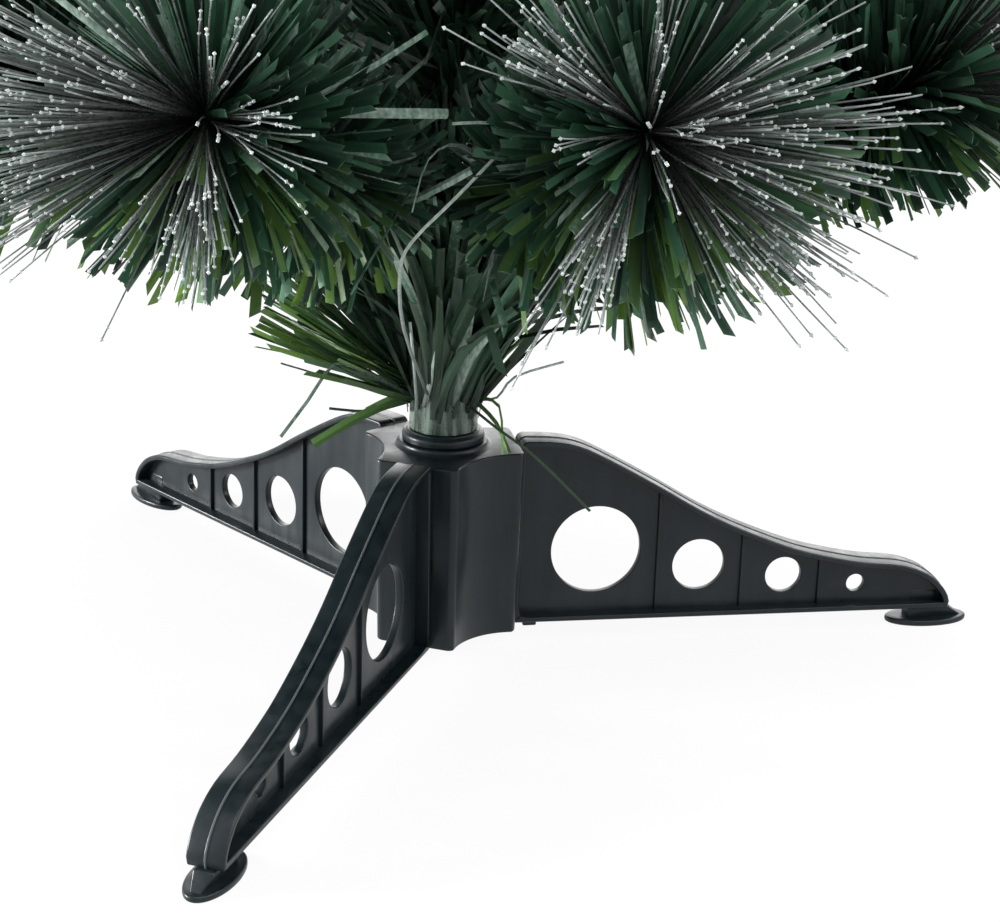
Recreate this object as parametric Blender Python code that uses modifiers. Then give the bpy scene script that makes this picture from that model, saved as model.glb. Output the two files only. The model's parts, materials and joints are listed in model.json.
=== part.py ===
"""A small artificial christmas tree on a three-legged plastic stand.

The tree stands on the floor at z = 0 with its trunk on the Z axis. Each branch
is a wire with an eye at its root, which swings on the wire ring of its tier,
and a needle brush that is threaded on the wire. The legs slide up into T-slots
in the hub, and the trunk stands in a plug that lifts out of the hub's socket.
"""

import math

import bmesh
import bpy
from mathutils import Matrix, Vector

MM = 0.001
FULL_TURN = 2 * math.pi

# Whole tree
TREE_HEIGHT = 640 * MM
GAP = 0.3 * MM
OVERRUN = 2 * MM

# Leg, seen from the side: radius from the trunk axis and height above the floor
LEG_SIDES = ("right", "left", "front")
FIRST_LEG_AZIMUTH = 10.4
LEG_STANDOFF = 0.4 * MM
LEG_TIP_RADIUS = 165 * MM
LEG_TOP = 66 * MM
LEG_UNDERSIDE_AT_HUB = 7.6 * MM
LEG_UNDERSIDE_AT_TIP = 5.6 * MM
LEG_TOP_SHARES = (
    (0.0, 1.0), (0.074, 0.992), (0.128, 0.963), (0.193, 0.887), (0.303, 0.732),
    (0.398, 0.592), (0.487, 0.48), (0.599, 0.366), (0.675, 0.308),
    (0.775, 0.254), (0.871, 0.224), (0.931, 0.166), (0.968, 0.082),
)
FLANGE_WIDTH = 10.6 * MM
FLANGE_THICK = 1.8 * MM
WEB_THICK = 2.4 * MM
HOLE_RADII = (14 * MM, 8.3 * MM, 5.8 * MM, 2.9 * MM)
HOLE_PLACE_SHARES = (0.177, 0.408, 0.604, 0.772)
HOLE_HEIGHT_SHARES = (0.368, 0.257, 0.176, 0.11)
HOLE_SIDES = (28, 20, 16, 12)
RIB_PLACE_SHARES = (0.314, 0.506, 0.685)
RIB_THICK = 0.9 * MM
RIB_PROUD = 1.7 * MM
LUG_INSET = 4.8 * MM
LUG_LENGTH = 4.2 * MM
LUG_WIDTH = 5 * MM
LUG_DROP = 2.2 * MM
TIP_BLOCK_LENGTH = 9 * MM
TIP_BLOCK_WIDTH = 7 * MM
TIP_BLOCK_HEIGHT = 4 * MM

# Foot pad under each leg tip
PAD_INSET = 7.7 * MM
PAD_LENGTH = 26.7 * MM
PAD_WIDTH = 12.6 * MM
PAD_THICK = 1.8 * MM
PAD_SIDES = 24
PAD_NECK_LENGTH = 14 * MM
PAD_NECK_WIDTH = 6 * MM
PAD_PEG_RADIUS = 1.6 * MM
PAD_PEG_LENGTH = 4 * MM

# Hub, a prism with three flat-ended stubs and a slightly smaller underside
HUB_BOTTOM = 7.6 * MM
HUB_TOP = 65 * MM
HUB_STUB_REACH = 22.6 * MM
HUB_STUB_HALF_WIDTH = 13.2 * MM
LEG_INNER_RADIUS = HUB_STUB_REACH + LEG_STANDOFF
HUB_CORNER_RADIUS = 2.6 * MM
HUB_WAIST_RADIUS = 18.2 * MM
HUB_BOTTOM_SHARE = 0.95
HUB_EDGE_BEVEL = 0.8 * MM
HUB_CORNER_STEPS = 3
HUB_WAIST_STEPS = 6
FLARE_HEIGHT = 1.6 * MM
FLARE_FOOT_RADIUS = 14 * MM
FLARE_RADIUS = 13.2 * MM
SOCKET_RADIUS = 9.1 * MM
SOCKET_FLOOR = 28 * MM
SOCKET_FLOOR_THICK = 2.4 * MM

# Leg rail, a T that slides in the hub's slot
RAIL_RADIUS = 15.4 * MM
RAIL_THICK = 2.6 * MM
RAIL_WIDTH = 8.6 * MM
RAIL_ROOF = 3 * MM
RAIL_FOOT = 2 * MM

# Trunk plug, sleeve and fibre bundle
PLUG_SHOULDER_RADIUS = 12.3 * MM
PLUG_SHOULDER_HEIGHT = 3.2 * MM
PLUG_SPIGOT_RADIUS = 8.5 * MM
PLUG_SPIGOT_HEIGHT = 14 * MM
PLUG_BORE_DEPTH = 44 * MM
TURNED_STEPS = 24
SLEEVE_RADIUS = 10.15 * MM
SLEEVE_WALL = 1.2 * MM
SLEEVE_LENGTH = 42 * MM
BUNDLE_LOBES = 14
BUNDLE_GROOVE = 0.6 * MM
BUNDLE_PROUD = 5 * MM

# Pole, with one wire ring on spokes for each tier of branches
POLE_RADIUS = 3.5 * MM
POLE_SIDES = 12
POLE_TOP = 592 * MM
SPIKE_RADIUS = 1.5 * MM
SPIKE_LENGTH = 130 * MM
RING_RADIUS = 10.5 * MM
RING_WIRE_RADIUS = 1.1 * MM
RING_WIRE_SIDES = 5
RING_BOSS_RADIUS = 5.4 * MM
RING_BOSS_HEIGHT = 3 * MM
SPOKE_WIDTH = 1.6 * MM
SPOKE_HEIGHT = 1.4 * MM

# Branch wire and the eye at its root
WIRE_RADIUS = 1.2 * MM
EYE_CLEARANCE = 0.4 * MM
EYE_ANGLE = 260
EYE_STEPS = 7

# Needle strands, thin four-sided strips that taper to a blunt end
BRUSH_CORE_RADIUS = 3 * MM
BRUSH_BORE_RADIUS = 1.8 * MM
BRUSH_START_SHARE = 0.26
STRAND_BAND = 2.4 * MM
STRAND_WIDTH_SHARE = 0.72
STRAND_THICK_SHARE = 0.28
WIRE_END_SHORT = 1 * MM

# Tiers of branches, lowest first: how many branches, the azimuth of the first,
# the radius and height of the tips, the angle that the wires rise at, and the
# sides of the tier's wire ring
TIER_COUNTS = (8, 6, 5, 3)
TIER_AZIMUTHS = (-114.5, -92.0, -86.0, -100.0)
TIER_TIP_RADII = (134 * MM, 112 * MM, 84 * MM, 52 * MM)
TIER_TIP_HEIGHTS = (188 * MM, 285 * MM, 374 * MM, 452 * MM)
TIER_ANGLES = (22, 28, 35, 50)
TIER_RING_SIDES = (24, 24, 20, 18)

# Strand rings on each tier's brush: their places as shares of the wire's
# length, the strands' angle from the wire and their length. The last ring is
# the spray of long fibres at the wire's tip. A brush is rolled on its wire so
# that strands of neighbours pass each other.
BRUSH_PLACE_SHARES = ((0.64, 0.90, 0.995), (0.62, 0.90, 0.995), (0.62, 0.88, 0.995), (0.62, 0.90, 0.995))
BRUSH_ANGLES = ((78, 70, 52), (78, 70, 50), (74, 68, 50), (70, 60, 46))
BRUSH_STRAND_LENGTHS = (
    (44 * MM, 50 * MM, 76 * MM), (44 * MM, 48 * MM, 76 * MM),
    (38 * MM, 44 * MM, 68 * MM), (32 * MM, 38 * MM, 58 * MM),
)
BRUSH_SIDES = 6
BRUSH_ROLL = 16

# Needle brushes that hug the trunk. Their rings have one strand on each side
# and are placed by shares of the brush's own height.
SKIRT_BOTTOM = 84 * MM
SKIRT_HEIGHT = 22 * MM
SKIRT_WALL = 1.6 * MM
SKIRT_SIDES = 12
SKIRT_PLACE_SHARES = (0.1, 0.5, 0.9)
SKIRT_ANGLES = (62, 42, 22)
SKIRT_STRAND_LENGTHS = (50 * MM, 48 * MM, 31 * MM)
WRAP_NAMES = ("pole_needles_lower", "pole_needles_upper")
WRAP_ABOVE_RING = (26 * MM, 21 * MM)
WRAP_HEIGHTS = (40 * MM, 36 * MM)
WRAP_WALL = 2.2 * MM
WRAP_SIDES = (8, 6)
WRAP_AZIMUTHS = (-69.5, -62.0)
WRAP_PLACE_SHARES = (0.12, 0.8)
WRAP_ANGLES = ((52, 46), (52, 48))
WRAP_STRAND_LENGTHS = ((40 * MM, 38 * MM), (38 * MM, 36 * MM))
TOP_BRUSH_ABOVE_SHOULDER = 30 * MM
TOP_BRUSH_WALL = 1.7 * MM
TOP_PLACE_SHARES = (0.08, 0.4, 0.72, 1.0)
TOP_ANGLES = (76, 72, 64, 34)
TOP_STRAND_LENGTHS = (40 * MM, 42 * MM, 42 * MM)


def clear_scene():
    for item in list(bpy.data.objects):
        bpy.data.objects.remove(item, do_unlink=True)


def make_collection(name):
    collection = bpy.data.collections.new(name)
    bpy.context.scene.collection.children.link(collection)
    return collection


def make_material(name, colour, roughness, metallic=0.0, alpha=1.0):
    material = bpy.data.materials.new(name)
    material.use_nodes = True
    shader = material.node_tree.nodes["Principled BSDF"]
    shader.inputs["Base Color"].default_value = (*colour, 1.0)
    shader.inputs["Roughness"].default_value = roughness
    shader.inputs["Metallic"].default_value = metallic
    shader.inputs["Alpha"].default_value = alpha
    return material


def add_object(name, mesh, material=None, parent=None, collection=None):
    item = bpy.data.objects.new(name, mesh)
    (collection or TREE).objects.link(item)
    if material:
        mesh.materials.clear()
        mesh.materials.append(material)
    if parent:
        item.parent = parent
    return item


def add_empty(name, place, azimuth):
    empty = bpy.data.objects.new(name, None)
    TREE.objects.link(empty)
    empty.location = place
    empty.rotation_euler = (0, 0, math.radians(azimuth))
    return empty


def mesh_from(name, bm):
    bmesh.ops.recalc_face_normals(bm, faces=bm.faces)
    mesh = bpy.data.meshes.new(name)
    bm.to_mesh(mesh)
    bm.free()
    return mesh


def baked(item, name):
    """The object's evaluated mesh, welded. The object itself is removed."""
    graph = bpy.context.evaluated_depsgraph_get()
    mesh = bpy.data.meshes.new_from_object(item.evaluated_get(graph))
    matrix = item.matrix_world.copy()
    bpy.data.objects.remove(item, do_unlink=True)
    bm = bmesh.new()
    bm.from_mesh(mesh)
    bmesh.ops.transform(bm, matrix=matrix, verts=bm.verts)
    bmesh.ops.remove_doubles(bm, verts=bm.verts, dist=GAP / 100)
    bmesh.ops.dissolve_degenerate(bm, dist=GAP / 100, edges=bm.edges)
    return mesh_from(name, bm)


def box(name, low, high):
    bm = bmesh.new()
    bmesh.ops.create_cube(bm, size=1)
    size = Vector(high) - Vector(low)
    bmesh.ops.scale(bm, vec=size, verts=bm.verts)
    bmesh.ops.translate(bm, vec=(Vector(low) + Vector(high)) / 2, verts=bm.verts)
    return mesh_from(name, bm)


def cylinder(name, radius, low, high, sides, top_radius=None):
    bm = bmesh.new()
    bmesh.ops.create_cone(
        bm, cap_ends=True, segments=sides, radius1=radius,
        radius2=radius if top_radius is None else top_radius, depth=high - low,
    )
    bmesh.ops.translate(bm, vec=(0, 0, (low + high) / 2), verts=bm.verts)
    return mesh_from(name, bm)


def flat_outline(name, loops, thickness):
    """A plate of this thickness in the XZ plane. Loops inside the first are holes."""
    curve = bpy.data.curves.new(name, "CURVE")
    curve.dimensions = "2D"
    curve.fill_mode = "BOTH"
    curve.extrude = thickness / 2
    for loop in loops:
        spline = curve.splines.new("POLY")
        spline.points.add(len(loop) - 1)
        spline.use_cyclic_u = True
        for point, (x, z) in zip(spline.points, loop):
            point.co = (x, z, 0, 1)
    item = add_object(name, curve, collection=TOOLS)
    item.rotation_euler = (math.pi / 2, 0, 0)
    bpy.context.view_layer.update()
    return baked(item, name)


def turned(name, profile, steps):
    """A profile of (radius, height) points, down its outer side, turned round Z."""
    mesh = bpy.data.meshes.new(name)
    points = [(radius, 0, height) for radius, height in profile]
    mesh.from_pydata(points, [(i, i + 1) for i in range(len(points) - 1)], [])
    item = add_object(name, mesh, collection=TOOLS)
    screw = item.modifiers.new("turn", "SCREW")
    screw.steps = steps
    screw.render_steps = steps
    screw.use_merge_vertices = True
    screw.merge_threshold = GAP / 100
    return baked(item, name)


def closed_profile(inner, outer, low, high):
    return ((inner, low), (inner, high), (outer, high), (outer, low), (inner, low))


def combined(name, body, joins=(), cuts=()):
    """The body mesh with others joined to it and then others cut from it."""
    item = add_object(name, body, collection=TOOLS)
    for number, (operation, mesh) in enumerate(
        [("UNION", mesh) for mesh in joins] + [("DIFFERENCE", mesh) for mesh in cuts]
    ):
        helper = add_object(f"{name}_tool_{number}", mesh, collection=TOOLS)
        helper.hide_render = True
        helper.display_type = "WIRE"
        step = item.modifiers.new(f"{operation.lower()}_{number}", "BOOLEAN")
        step.operation = operation
        step.solver = "EXACT"
        step.object = helper
    bpy.context.view_layer.update()
    helpers = [step.object for step in item.modifiers]
    mesh = baked(item, name)
    for helper in helpers:
        bpy.data.objects.remove(helper, do_unlink=True)
    return mesh


def circle_points(place, height, radius, sides):
    return [
        (place + radius * math.cos(FULL_TURN * i / sides), height + radius * math.sin(FULL_TURN * i / sides))
        for i in range(sides)
    ]


def inset_outline(points, distance):
    """The outline moved inwards, for a loop of points that runs clockwise."""
    found = []
    for i, (x, z) in enumerate(points):
        before = Vector((x, z)) - Vector(points[i - 1])
        after = Vector(points[(i + 1) % len(points)]) - Vector((x, z))
        sides = [Vector((side.y, -side.x)).normalized() for side in (before, after)]
        middle = (sides[0] + sides[1]).normalized()
        found.append(tuple(Vector((x, z)) + middle * (distance / middle.dot(sides[0]))))
    return found


def leg_outline():
    """The leg's side outline, clockwise from the top corner beside the hub."""
    height = LEG_TOP - LEG_UNDERSIDE_AT_HUB
    points = [(leg_place(along), LEG_UNDERSIDE_AT_HUB + height * up) for along, up in LEG_TOP_SHARES]
    points.append((LEG_TIP_RADIUS, LEG_UNDERSIDE_AT_TIP))
    points.append((LEG_INNER_RADIUS, LEG_UNDERSIDE_AT_HUB))
    return points


def leg_place(share):
    return LEG_INNER_RADIUS + share * (LEG_TIP_RADIUS - LEG_INNER_RADIUS)


def pad_place():
    return LEG_TIP_RADIUS - PAD_INSET


def underside_at(radius):
    share = (radius - LEG_INNER_RADIUS) / (LEG_TIP_RADIUS - LEG_INNER_RADIUS)
    return LEG_UNDERSIDE_AT_HUB + share * (LEG_UNDERSIDE_AT_TIP - LEG_UNDERSIDE_AT_HUB)


def top_at(radius):
    points = leg_outline()[: len(LEG_TOP_SHARES)]
    for (r0, z0), (r1, z1) in zip(points, points[1:]):
        if r0 <= radius <= r1:
            return z0 + (z1 - z0) * (radius - r0) / (r1 - r0)
    return points[-1][1]


def leg_mesh():
    outline = leg_outline()
    height = LEG_TOP - LEG_UNDERSIDE_AT_HUB
    holes = [
        circle_points(leg_place(along), LEG_UNDERSIDE_AT_HUB + height * up, radius, sides)
        for along, up, radius, sides in zip(HOLE_PLACE_SHARES, HOLE_HEIGHT_SHARES, HOLE_RADII, HOLE_SIDES)
    ]
    web = flat_outline("web", [inset_outline(outline, FLANGE_THICK / 2), *holes], WEB_THICK)
    flange = flat_outline("flange", [outline, inset_outline(outline, FLANGE_THICK)], FLANGE_WIDTH)
    rib_half = WEB_THICK / 2 + RIB_PROUD
    ribs = [
        box(
            "rib",
            (place - RIB_THICK / 2, -rib_half, underside_at(place) + FLANGE_THICK / 2),
            (place + RIB_THICK / 2, rib_half, top_at(place) - FLANGE_THICK / 2),
        )
        for place in map(leg_place, RIB_PLACE_SHARES)
    ]
    lug_place = LEG_INNER_RADIUS + LUG_INSET
    lug = box(
        "lug",
        (lug_place - LUG_LENGTH / 2, -LUG_WIDTH / 2, underside_at(lug_place) - LUG_DROP),
        (lug_place + LUG_LENGTH / 2, LUG_WIDTH / 2, underside_at(lug_place) + FLANGE_THICK / 2),
    )
    block_bottom = underside_at(pad_place()) + FLANGE_THICK / 2
    block_end = pad_place() + TIP_BLOCK_LENGTH / 2 - FLANGE_THICK
    block = box(
        "tip_block",
        (pad_place() - TIP_BLOCK_LENGTH / 2, -TIP_BLOCK_WIDTH / 2, block_bottom),
        (block_end, TIP_BLOCK_WIDTH / 2, block_bottom + TIP_BLOCK_HEIGHT),
    )
    rail_low = HUB_BOTTOM + RAIL_FOOT
    rail_high = HUB_TOP - RAIL_ROOF - GAP
    neck = box(
        "rail_neck",
        (RAIL_RADIUS + RAIL_THICK / 2, -WEB_THICK / 2, rail_low),
        (LEG_INNER_RADIUS + FLANGE_THICK, WEB_THICK / 2, rail_high),
    )
    rail = box(
        "rail",
        (RAIL_RADIUS, -RAIL_WIDTH / 2, rail_low),
        (RAIL_RADIUS + RAIL_THICK, RAIL_WIDTH / 2, rail_high),
    )
    peg_hole = cylinder(
        "peg_hole", PAD_PEG_RADIUS + GAP, underside_at(pad_place()) - OVERRUN,
        neck_top() + PAD_PEG_LENGTH + GAP, POLE_SIDES,
    )
    peg_hole.transform(Matrix.Translation((pad_place(), 0, 0)))
    return combined("leg", web, (flange, *ribs, lug, block, neck, rail), (peg_hole,))


def neck_top():
    """The height of the pad's neck, just under the lower end of the leg's tip."""
    return underside_at(pad_place() + PAD_NECK_LENGTH / 2) - GAP


def pad_mesh():
    plate = cylinder("plate", PAD_LENGTH / 2, 0, PAD_THICK, PAD_SIDES)
    plate.transform(Matrix.Diagonal((1, PAD_WIDTH / PAD_LENGTH, 1, 1)))
    neck = box(
        "neck",
        (-PAD_NECK_LENGTH / 2, -PAD_NECK_WIDTH / 2, PAD_THICK / 2),
        (PAD_NECK_LENGTH / 2, PAD_NECK_WIDTH / 2, neck_top()),
    )
    peg = cylinder("peg", PAD_PEG_RADIUS, PAD_THICK / 2, neck_top() + PAD_PEG_LENGTH, POLE_SIDES)
    return combined("foot_pad", plate, (neck, peg))


def hub_outline():
    """Three flat stub ends with round corners, and a shallow hollow between each two."""
    points = []
    third = FULL_TURN / 3
    for stub in range(3):
        turn = Matrix.Rotation(stub * third, 2)
        centre = Vector((HUB_STUB_REACH - HUB_CORNER_RADIUS, HUB_STUB_HALF_WIDTH - HUB_CORNER_RADIUS))
        corner = [
            centre + HUB_CORNER_RADIUS * Vector((math.cos(angle), math.sin(angle)))
            for angle in (third / 2 * step / HUB_CORNER_STEPS for step in range(HUB_CORNER_STEPS + 1))
        ]
        low = [Vector((point.x, -point.y)) for point in reversed(corner)]
        points += [turn @ point for point in low + corner]
        start = corner[-1]
        end = Matrix.Rotation(third, 2) @ low[0]
        half = (end - start).length / 2
        middle = (start + end) / 2
        depth = middle.length - HUB_WAIST_RADIUS
        radius = (half * half + depth * depth) / (2 * depth)
        centre = middle.normalized() * (HUB_WAIST_RADIUS + radius)
        sweep = 2 * math.asin(half / radius)
        arm = start - centre
        for step in range(1, HUB_WAIST_STEPS):
            points.append(turn @ (centre + Matrix.Rotation(-sweep * step / HUB_WAIST_STEPS, 2) @ arm))
    return points


def hub_mesh():
    bm = bmesh.new()
    ring = [bm.verts.new((point.x, point.y, HUB_BOTTOM)) for point in hub_outline()]
    base = bm.faces.new(ring)
    bmesh.ops.scale(bm, vec=(HUB_BOTTOM_SHARE, HUB_BOTTOM_SHARE, 1), verts=ring)
    raised = bmesh.ops.extrude_face_region(bm, geom=[base], use_keep_orig=True)["geom"]
    top = [part for part in raised if isinstance(part, bmesh.types.BMVert)]
    bmesh.ops.translate(bm, vec=(0, 0, HUB_TOP - HUB_BOTTOM), verts=top)
    bmesh.ops.scale(bm, vec=(1 / HUB_BOTTOM_SHARE, 1 / HUB_BOTTOM_SHARE, 1), verts=top)
    rim = [edge for edge in bm.edges if all(vert in top for vert in edge.verts)]
    bmesh.ops.bevel(
        bm, geom=rim, offset=HUB_EDGE_BEVEL, segments=1, profile=0.5, affect="EDGES", material=-1
    )
    body = mesh_from("hub_body", bm)
    flare = cylinder(
        "flare", FLARE_FOOT_RADIUS, HUB_TOP - HUB_EDGE_BEVEL, HUB_TOP + FLARE_HEIGHT, TURNED_STEPS, FLARE_RADIUS
    )
    socket = cylinder("socket", SOCKET_RADIUS, SOCKET_FLOOR, HUB_TOP + FLARE_HEIGHT + OVERRUN, TURNED_STEPS)
    core = cylinder(
        "core", SOCKET_RADIUS, HUB_BOTTOM - OVERRUN, SOCKET_FLOOR - SOCKET_FLOOR_THICK, TURNED_STEPS
    )
    cuts = [socket, core]
    for azimuth in range(0, 360, 120):
        slot = box(
            "slot",
            (RAIL_RADIUS - GAP, -RAIL_WIDTH / 2 - GAP, HUB_BOTTOM - OVERRUN),
            (RAIL_RADIUS + RAIL_THICK + GAP, RAIL_WIDTH / 2 + GAP, HUB_TOP - RAIL_ROOF),
        )
        mouth = box(
            "mouth",
            (RAIL_RADIUS + RAIL_THICK / 2, -WEB_THICK / 2 - GAP, HUB_BOTTOM - OVERRUN),
            (HUB_STUB_REACH + OVERRUN, WEB_THICK / 2 + GAP, HUB_TOP - RAIL_ROOF),
        )
        for cutter in (slot, mouth):
            cutter.transform(Matrix.Rotation(math.radians(azimuth), 4, "Z"))
            cuts.append(cutter)
    return combined("hub", body, (flare,), cuts)


def shoulder_bottom():
    return HUB_TOP + FLARE_HEIGHT + GAP


def spigot_bottom():
    return shoulder_bottom() + PLUG_SHOULDER_HEIGHT


def spigot_top():
    return spigot_bottom() + PLUG_SPIGOT_HEIGHT


def plug_mesh():
    bore = POLE_RADIUS + GAP
    stub = SOCKET_RADIUS - GAP
    floor = spigot_top() - PLUG_BORE_DEPTH
    return turned(
        "plug",
        (
            (0, floor), (bore, floor), (bore, spigot_top()), (PLUG_SPIGOT_RADIUS, spigot_top()),
            (PLUG_SPIGOT_RADIUS, spigot_bottom()), (PLUG_SHOULDER_RADIUS, spigot_bottom()),
            (PLUG_SHOULDER_RADIUS, shoulder_bottom()), (stub, shoulder_bottom()),
            (stub, SOCKET_FLOOR + GAP), (0, SOCKET_FLOOR + GAP),
        ),
        TURNED_STEPS,
    )


def bundle_mesh():
    """Bound fibres that fill the sleeve round the pole, with a lobed outside."""
    outer = SLEEVE_RADIUS - SLEEVE_WALL - GAP
    lobes = [
        (radius * math.cos(angle), radius * math.sin(angle))
        for step in range(2 * BUNDLE_LOBES)
        for radius, angle in ((outer - BUNDLE_GROOVE * (step % 2), -FULL_TURN * step / (2 * BUNDLE_LOBES)),)
    ]
    bottom = spigot_top() + GAP
    top = spigot_bottom() + SLEEVE_LENGTH + BUNDLE_PROUD
    mesh = flat_outline("bundle", [lobes, circle_points(0, 0, POLE_RADIUS + GAP, POLE_SIDES)], top - bottom)
    mesh.transform(Matrix.Rotation(math.pi / 2, 4, "X"))
    mesh.transform(Matrix.Translation((0, 0, (top + bottom) / 2)))
    return mesh


def tiers():
    """The tiers of branches, lowest first, each as a dict of its sizes."""
    names = ("count", "azimuth", "tip_radius", "tip_height", "angle", "sides")
    rows = zip(TIER_COUNTS, TIER_AZIMUTHS, TIER_TIP_RADII, TIER_TIP_HEIGHTS, TIER_ANGLES, TIER_RING_SIDES)
    return [dict(zip(names, row)) for row in rows]


def root_height(tier):
    """The height of a tier's wire ring: straight down the rise from its tips."""
    run = tier["tip_radius"] - RING_RADIUS
    return tier["tip_height"] - run * math.tan(math.radians(tier["angle"]))


def wire_length(tier):
    return (tier["tip_radius"] - RING_RADIUS) / math.cos(math.radians(tier["angle"]))


def tier_ring_parts(tier):
    """The boss on the pole, the wire ring and the spokes between the branches."""
    height = root_height(tier)
    boss = cylinder(
        "boss", RING_BOSS_RADIUS, height - RING_BOSS_HEIGHT / 2, height + RING_BOSS_HEIGHT / 2, POLE_SIDES
    )
    bm = bmesh.new()
    section = bmesh.ops.create_circle(bm, segments=RING_WIRE_SIDES, radius=RING_WIRE_RADIUS)["verts"]
    bmesh.ops.rotate(bm, verts=section, matrix=Matrix.Rotation(math.pi / 2, 3, "X"))
    bmesh.ops.translate(bm, verts=section, vec=(RING_RADIUS, 0, height))
    bmesh.ops.spin(
        bm, geom=bm.edges[:], cent=(0, 0, height), axis=(0, 0, 1), angle=FULL_TURN,
        steps=tier["sides"], use_merge=True,
    )
    ring = mesh_from("ring", bm)
    ring.transform(Matrix.Rotation(math.radians(tier["azimuth"] + 180 / tier["sides"]), 4, "Z"))
    parts = [boss, ring]
    for number in range(tier["count"]):
        spoke = box(
            "spoke",
            (POLE_RADIUS, -SPOKE_WIDTH / 2, height - SPOKE_HEIGHT / 2),
            (RING_RADIUS, SPOKE_WIDTH / 2, height + SPOKE_HEIGHT / 2),
        )
        azimuth = tier["azimuth"] + (number + 0.5) * 360 / tier["count"]
        spoke.transform(Matrix.Rotation(math.radians(azimuth), 4, "Z"))
        parts.append(spoke)
    return parts


def pole_mesh():
    shoulder = POLE_TOP - SPIKE_LENGTH
    foot = spigot_top() - PLUG_BORE_DEPTH + GAP
    pole = turned(
        "pole",
        (
            (0, POLE_TOP), (SPIKE_RADIUS, POLE_TOP), (SPIKE_RADIUS, shoulder), (POLE_RADIUS, shoulder),
            (POLE_RADIUS, foot), (0, foot),
        ),
        POLE_SIDES,
    )
    return combined("pole", pole, [part for tier in tiers() for part in tier_ring_parts(tier)])


def eye_radius():
    return RING_WIRE_RADIUS + WIRE_RADIUS + EYE_CLEARANCE


def wire_frame(tier):
    """A matrix to the branch's frame from one with X along the wire and Z square to it."""
    slope = Matrix.Rotation(-math.radians(tier["angle"]), 4, "Y")
    return slope @ Matrix.Translation((0, 0, -eye_radius()))


def wire_mesh(name, tier):
    """A wire bent to an eye round the tier's ring, and straight from there to the tip."""
    points = []
    for step in range(EYE_STEPS + 1):
        angle = math.radians(-90 - EYE_ANGLE * (1 - step / EYE_STEPS))
        points.append((eye_radius() * math.cos(angle), 0, eye_radius() * (1 + math.sin(angle))))
    length = wire_length(tier) - WIRE_END_SHORT
    points += [(length * BRUSH_START_SHARE, 0, 0), (length, 0, 0)]
    curve = bpy.data.curves.new(name, "CURVE")
    curve.dimensions = "3D"
    curve.bevel_depth = WIRE_RADIUS
    curve.bevel_resolution = 1
    curve.use_fill_caps = True
    spline = curve.splines.new("POLY")
    spline.points.add(len(points) - 1)
    for point, place in zip(spline.points, points):
        point.co = (*place, 1)
    item = add_object(name, curve, collection=TOOLS)
    item.matrix_world = wire_frame(tier)
    bpy.context.view_layer.update()
    return baked(item, name)


def strand_tip(face, centre, radial, angle, length):
    """Moves an extruded face of the core out along its strand, and narrows it."""
    axis = Vector((1, 0, 0))
    tangent = axis.cross(radial)
    direction = math.cos(angle) * axis + math.sin(angle) * radial
    across = math.sin(angle) * axis - math.cos(angle) * radial
    for vert in face.verts:
        offset = vert.co - centre
        vert.co = (
            centre + direction * length
            + tangent * (offset.dot(tangent) * STRAND_WIDTH_SHARE)
            + across * (offset.dot(axis) * STRAND_THICK_SHARE)
        )


def brush_mesh(name, start, end, bore, core, sides, rings):
    """A bored core along X with a strand drawn out of each facet in every ring.
    A ring has its place on X, and its strands' angle from X and length."""
    bm = bmesh.new()
    bands = []
    for place, angle, length in rings:
        low = min(place, end - STRAND_BAND)
        bands.append((low, low + STRAND_BAND, angle, length))
    stops = sorted({start, end, *(place for band in bands for place in band[:2])})
    outside = [(place, core, 0) for place in stops]
    profile = [bm.verts.new(place) for place in [*outside, (end, bore, 0), (start, bore, 0)]]
    for first, second in zip(profile, profile[1:] + profile[:1]):
        bm.edges.new((first, second))
    bmesh.ops.spin(
        bm, geom=bm.edges[:], cent=(0, 0, 0), axis=(1, 0, 0), angle=FULL_TURN, steps=sides, use_merge=True
    )
    bmesh.ops.recalc_face_normals(bm, faces=bm.faces)
    chosen = []
    for low, high, angle, length in bands:
        for face in list(bm.faces):
            centre = face.calc_center_median()
            outer = math.hypot(centre.y, centre.z) > (core + bore) / 2
            if not (low < centre.x < high and outer and face.normal.x ** 2 < 0.5):
                continue
            radial = Vector((0, centre.y, centre.z)).normalized()
            chosen.append((face, centre, radial, math.radians(angle), length))
    drawn = bmesh.ops.extrude_discrete_faces(bm, faces=[entry[0] for entry in chosen])["faces"]
    for face in drawn:
        middle = face.calc_center_median()
        entry = min(chosen, key=lambda known: (known[1] - middle).length)
        strand_tip(face, *entry[1:])
    return mesh_from(name, bm)


def branch_brush_mesh(name, tier, shares, *strands):
    length = wire_length(tier)
    rings = zip([length * share for share in shares], *strands)
    mesh = brush_mesh(
        name, length * BRUSH_START_SHARE, length, BRUSH_BORE_RADIUS, BRUSH_CORE_RADIUS, BRUSH_SIDES, rings
    )
    mesh.transform(wire_frame(tier) @ Matrix.Rotation(math.radians(BRUSH_ROLL), 4, "X"))
    return mesh


def upright_brush_mesh(name, bottom, top, bore, wall, sides, azimuth, shares, angles, lengths):
    """A brush whose core stands on the trunk axis, with a strand on each side in each ring."""
    places = [bottom + (top - bottom) * share for share in shares]
    rings = zip(places, angles, lengths)
    mesh = brush_mesh(name, bottom, top, bore, bore + wall, sides, rings)
    mesh.transform(Matrix.Rotation(-math.pi / 2, 4, "Y"))
    mesh.transform(Matrix.Rotation(math.radians(azimuth), 4, "Z"))
    return mesh


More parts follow.
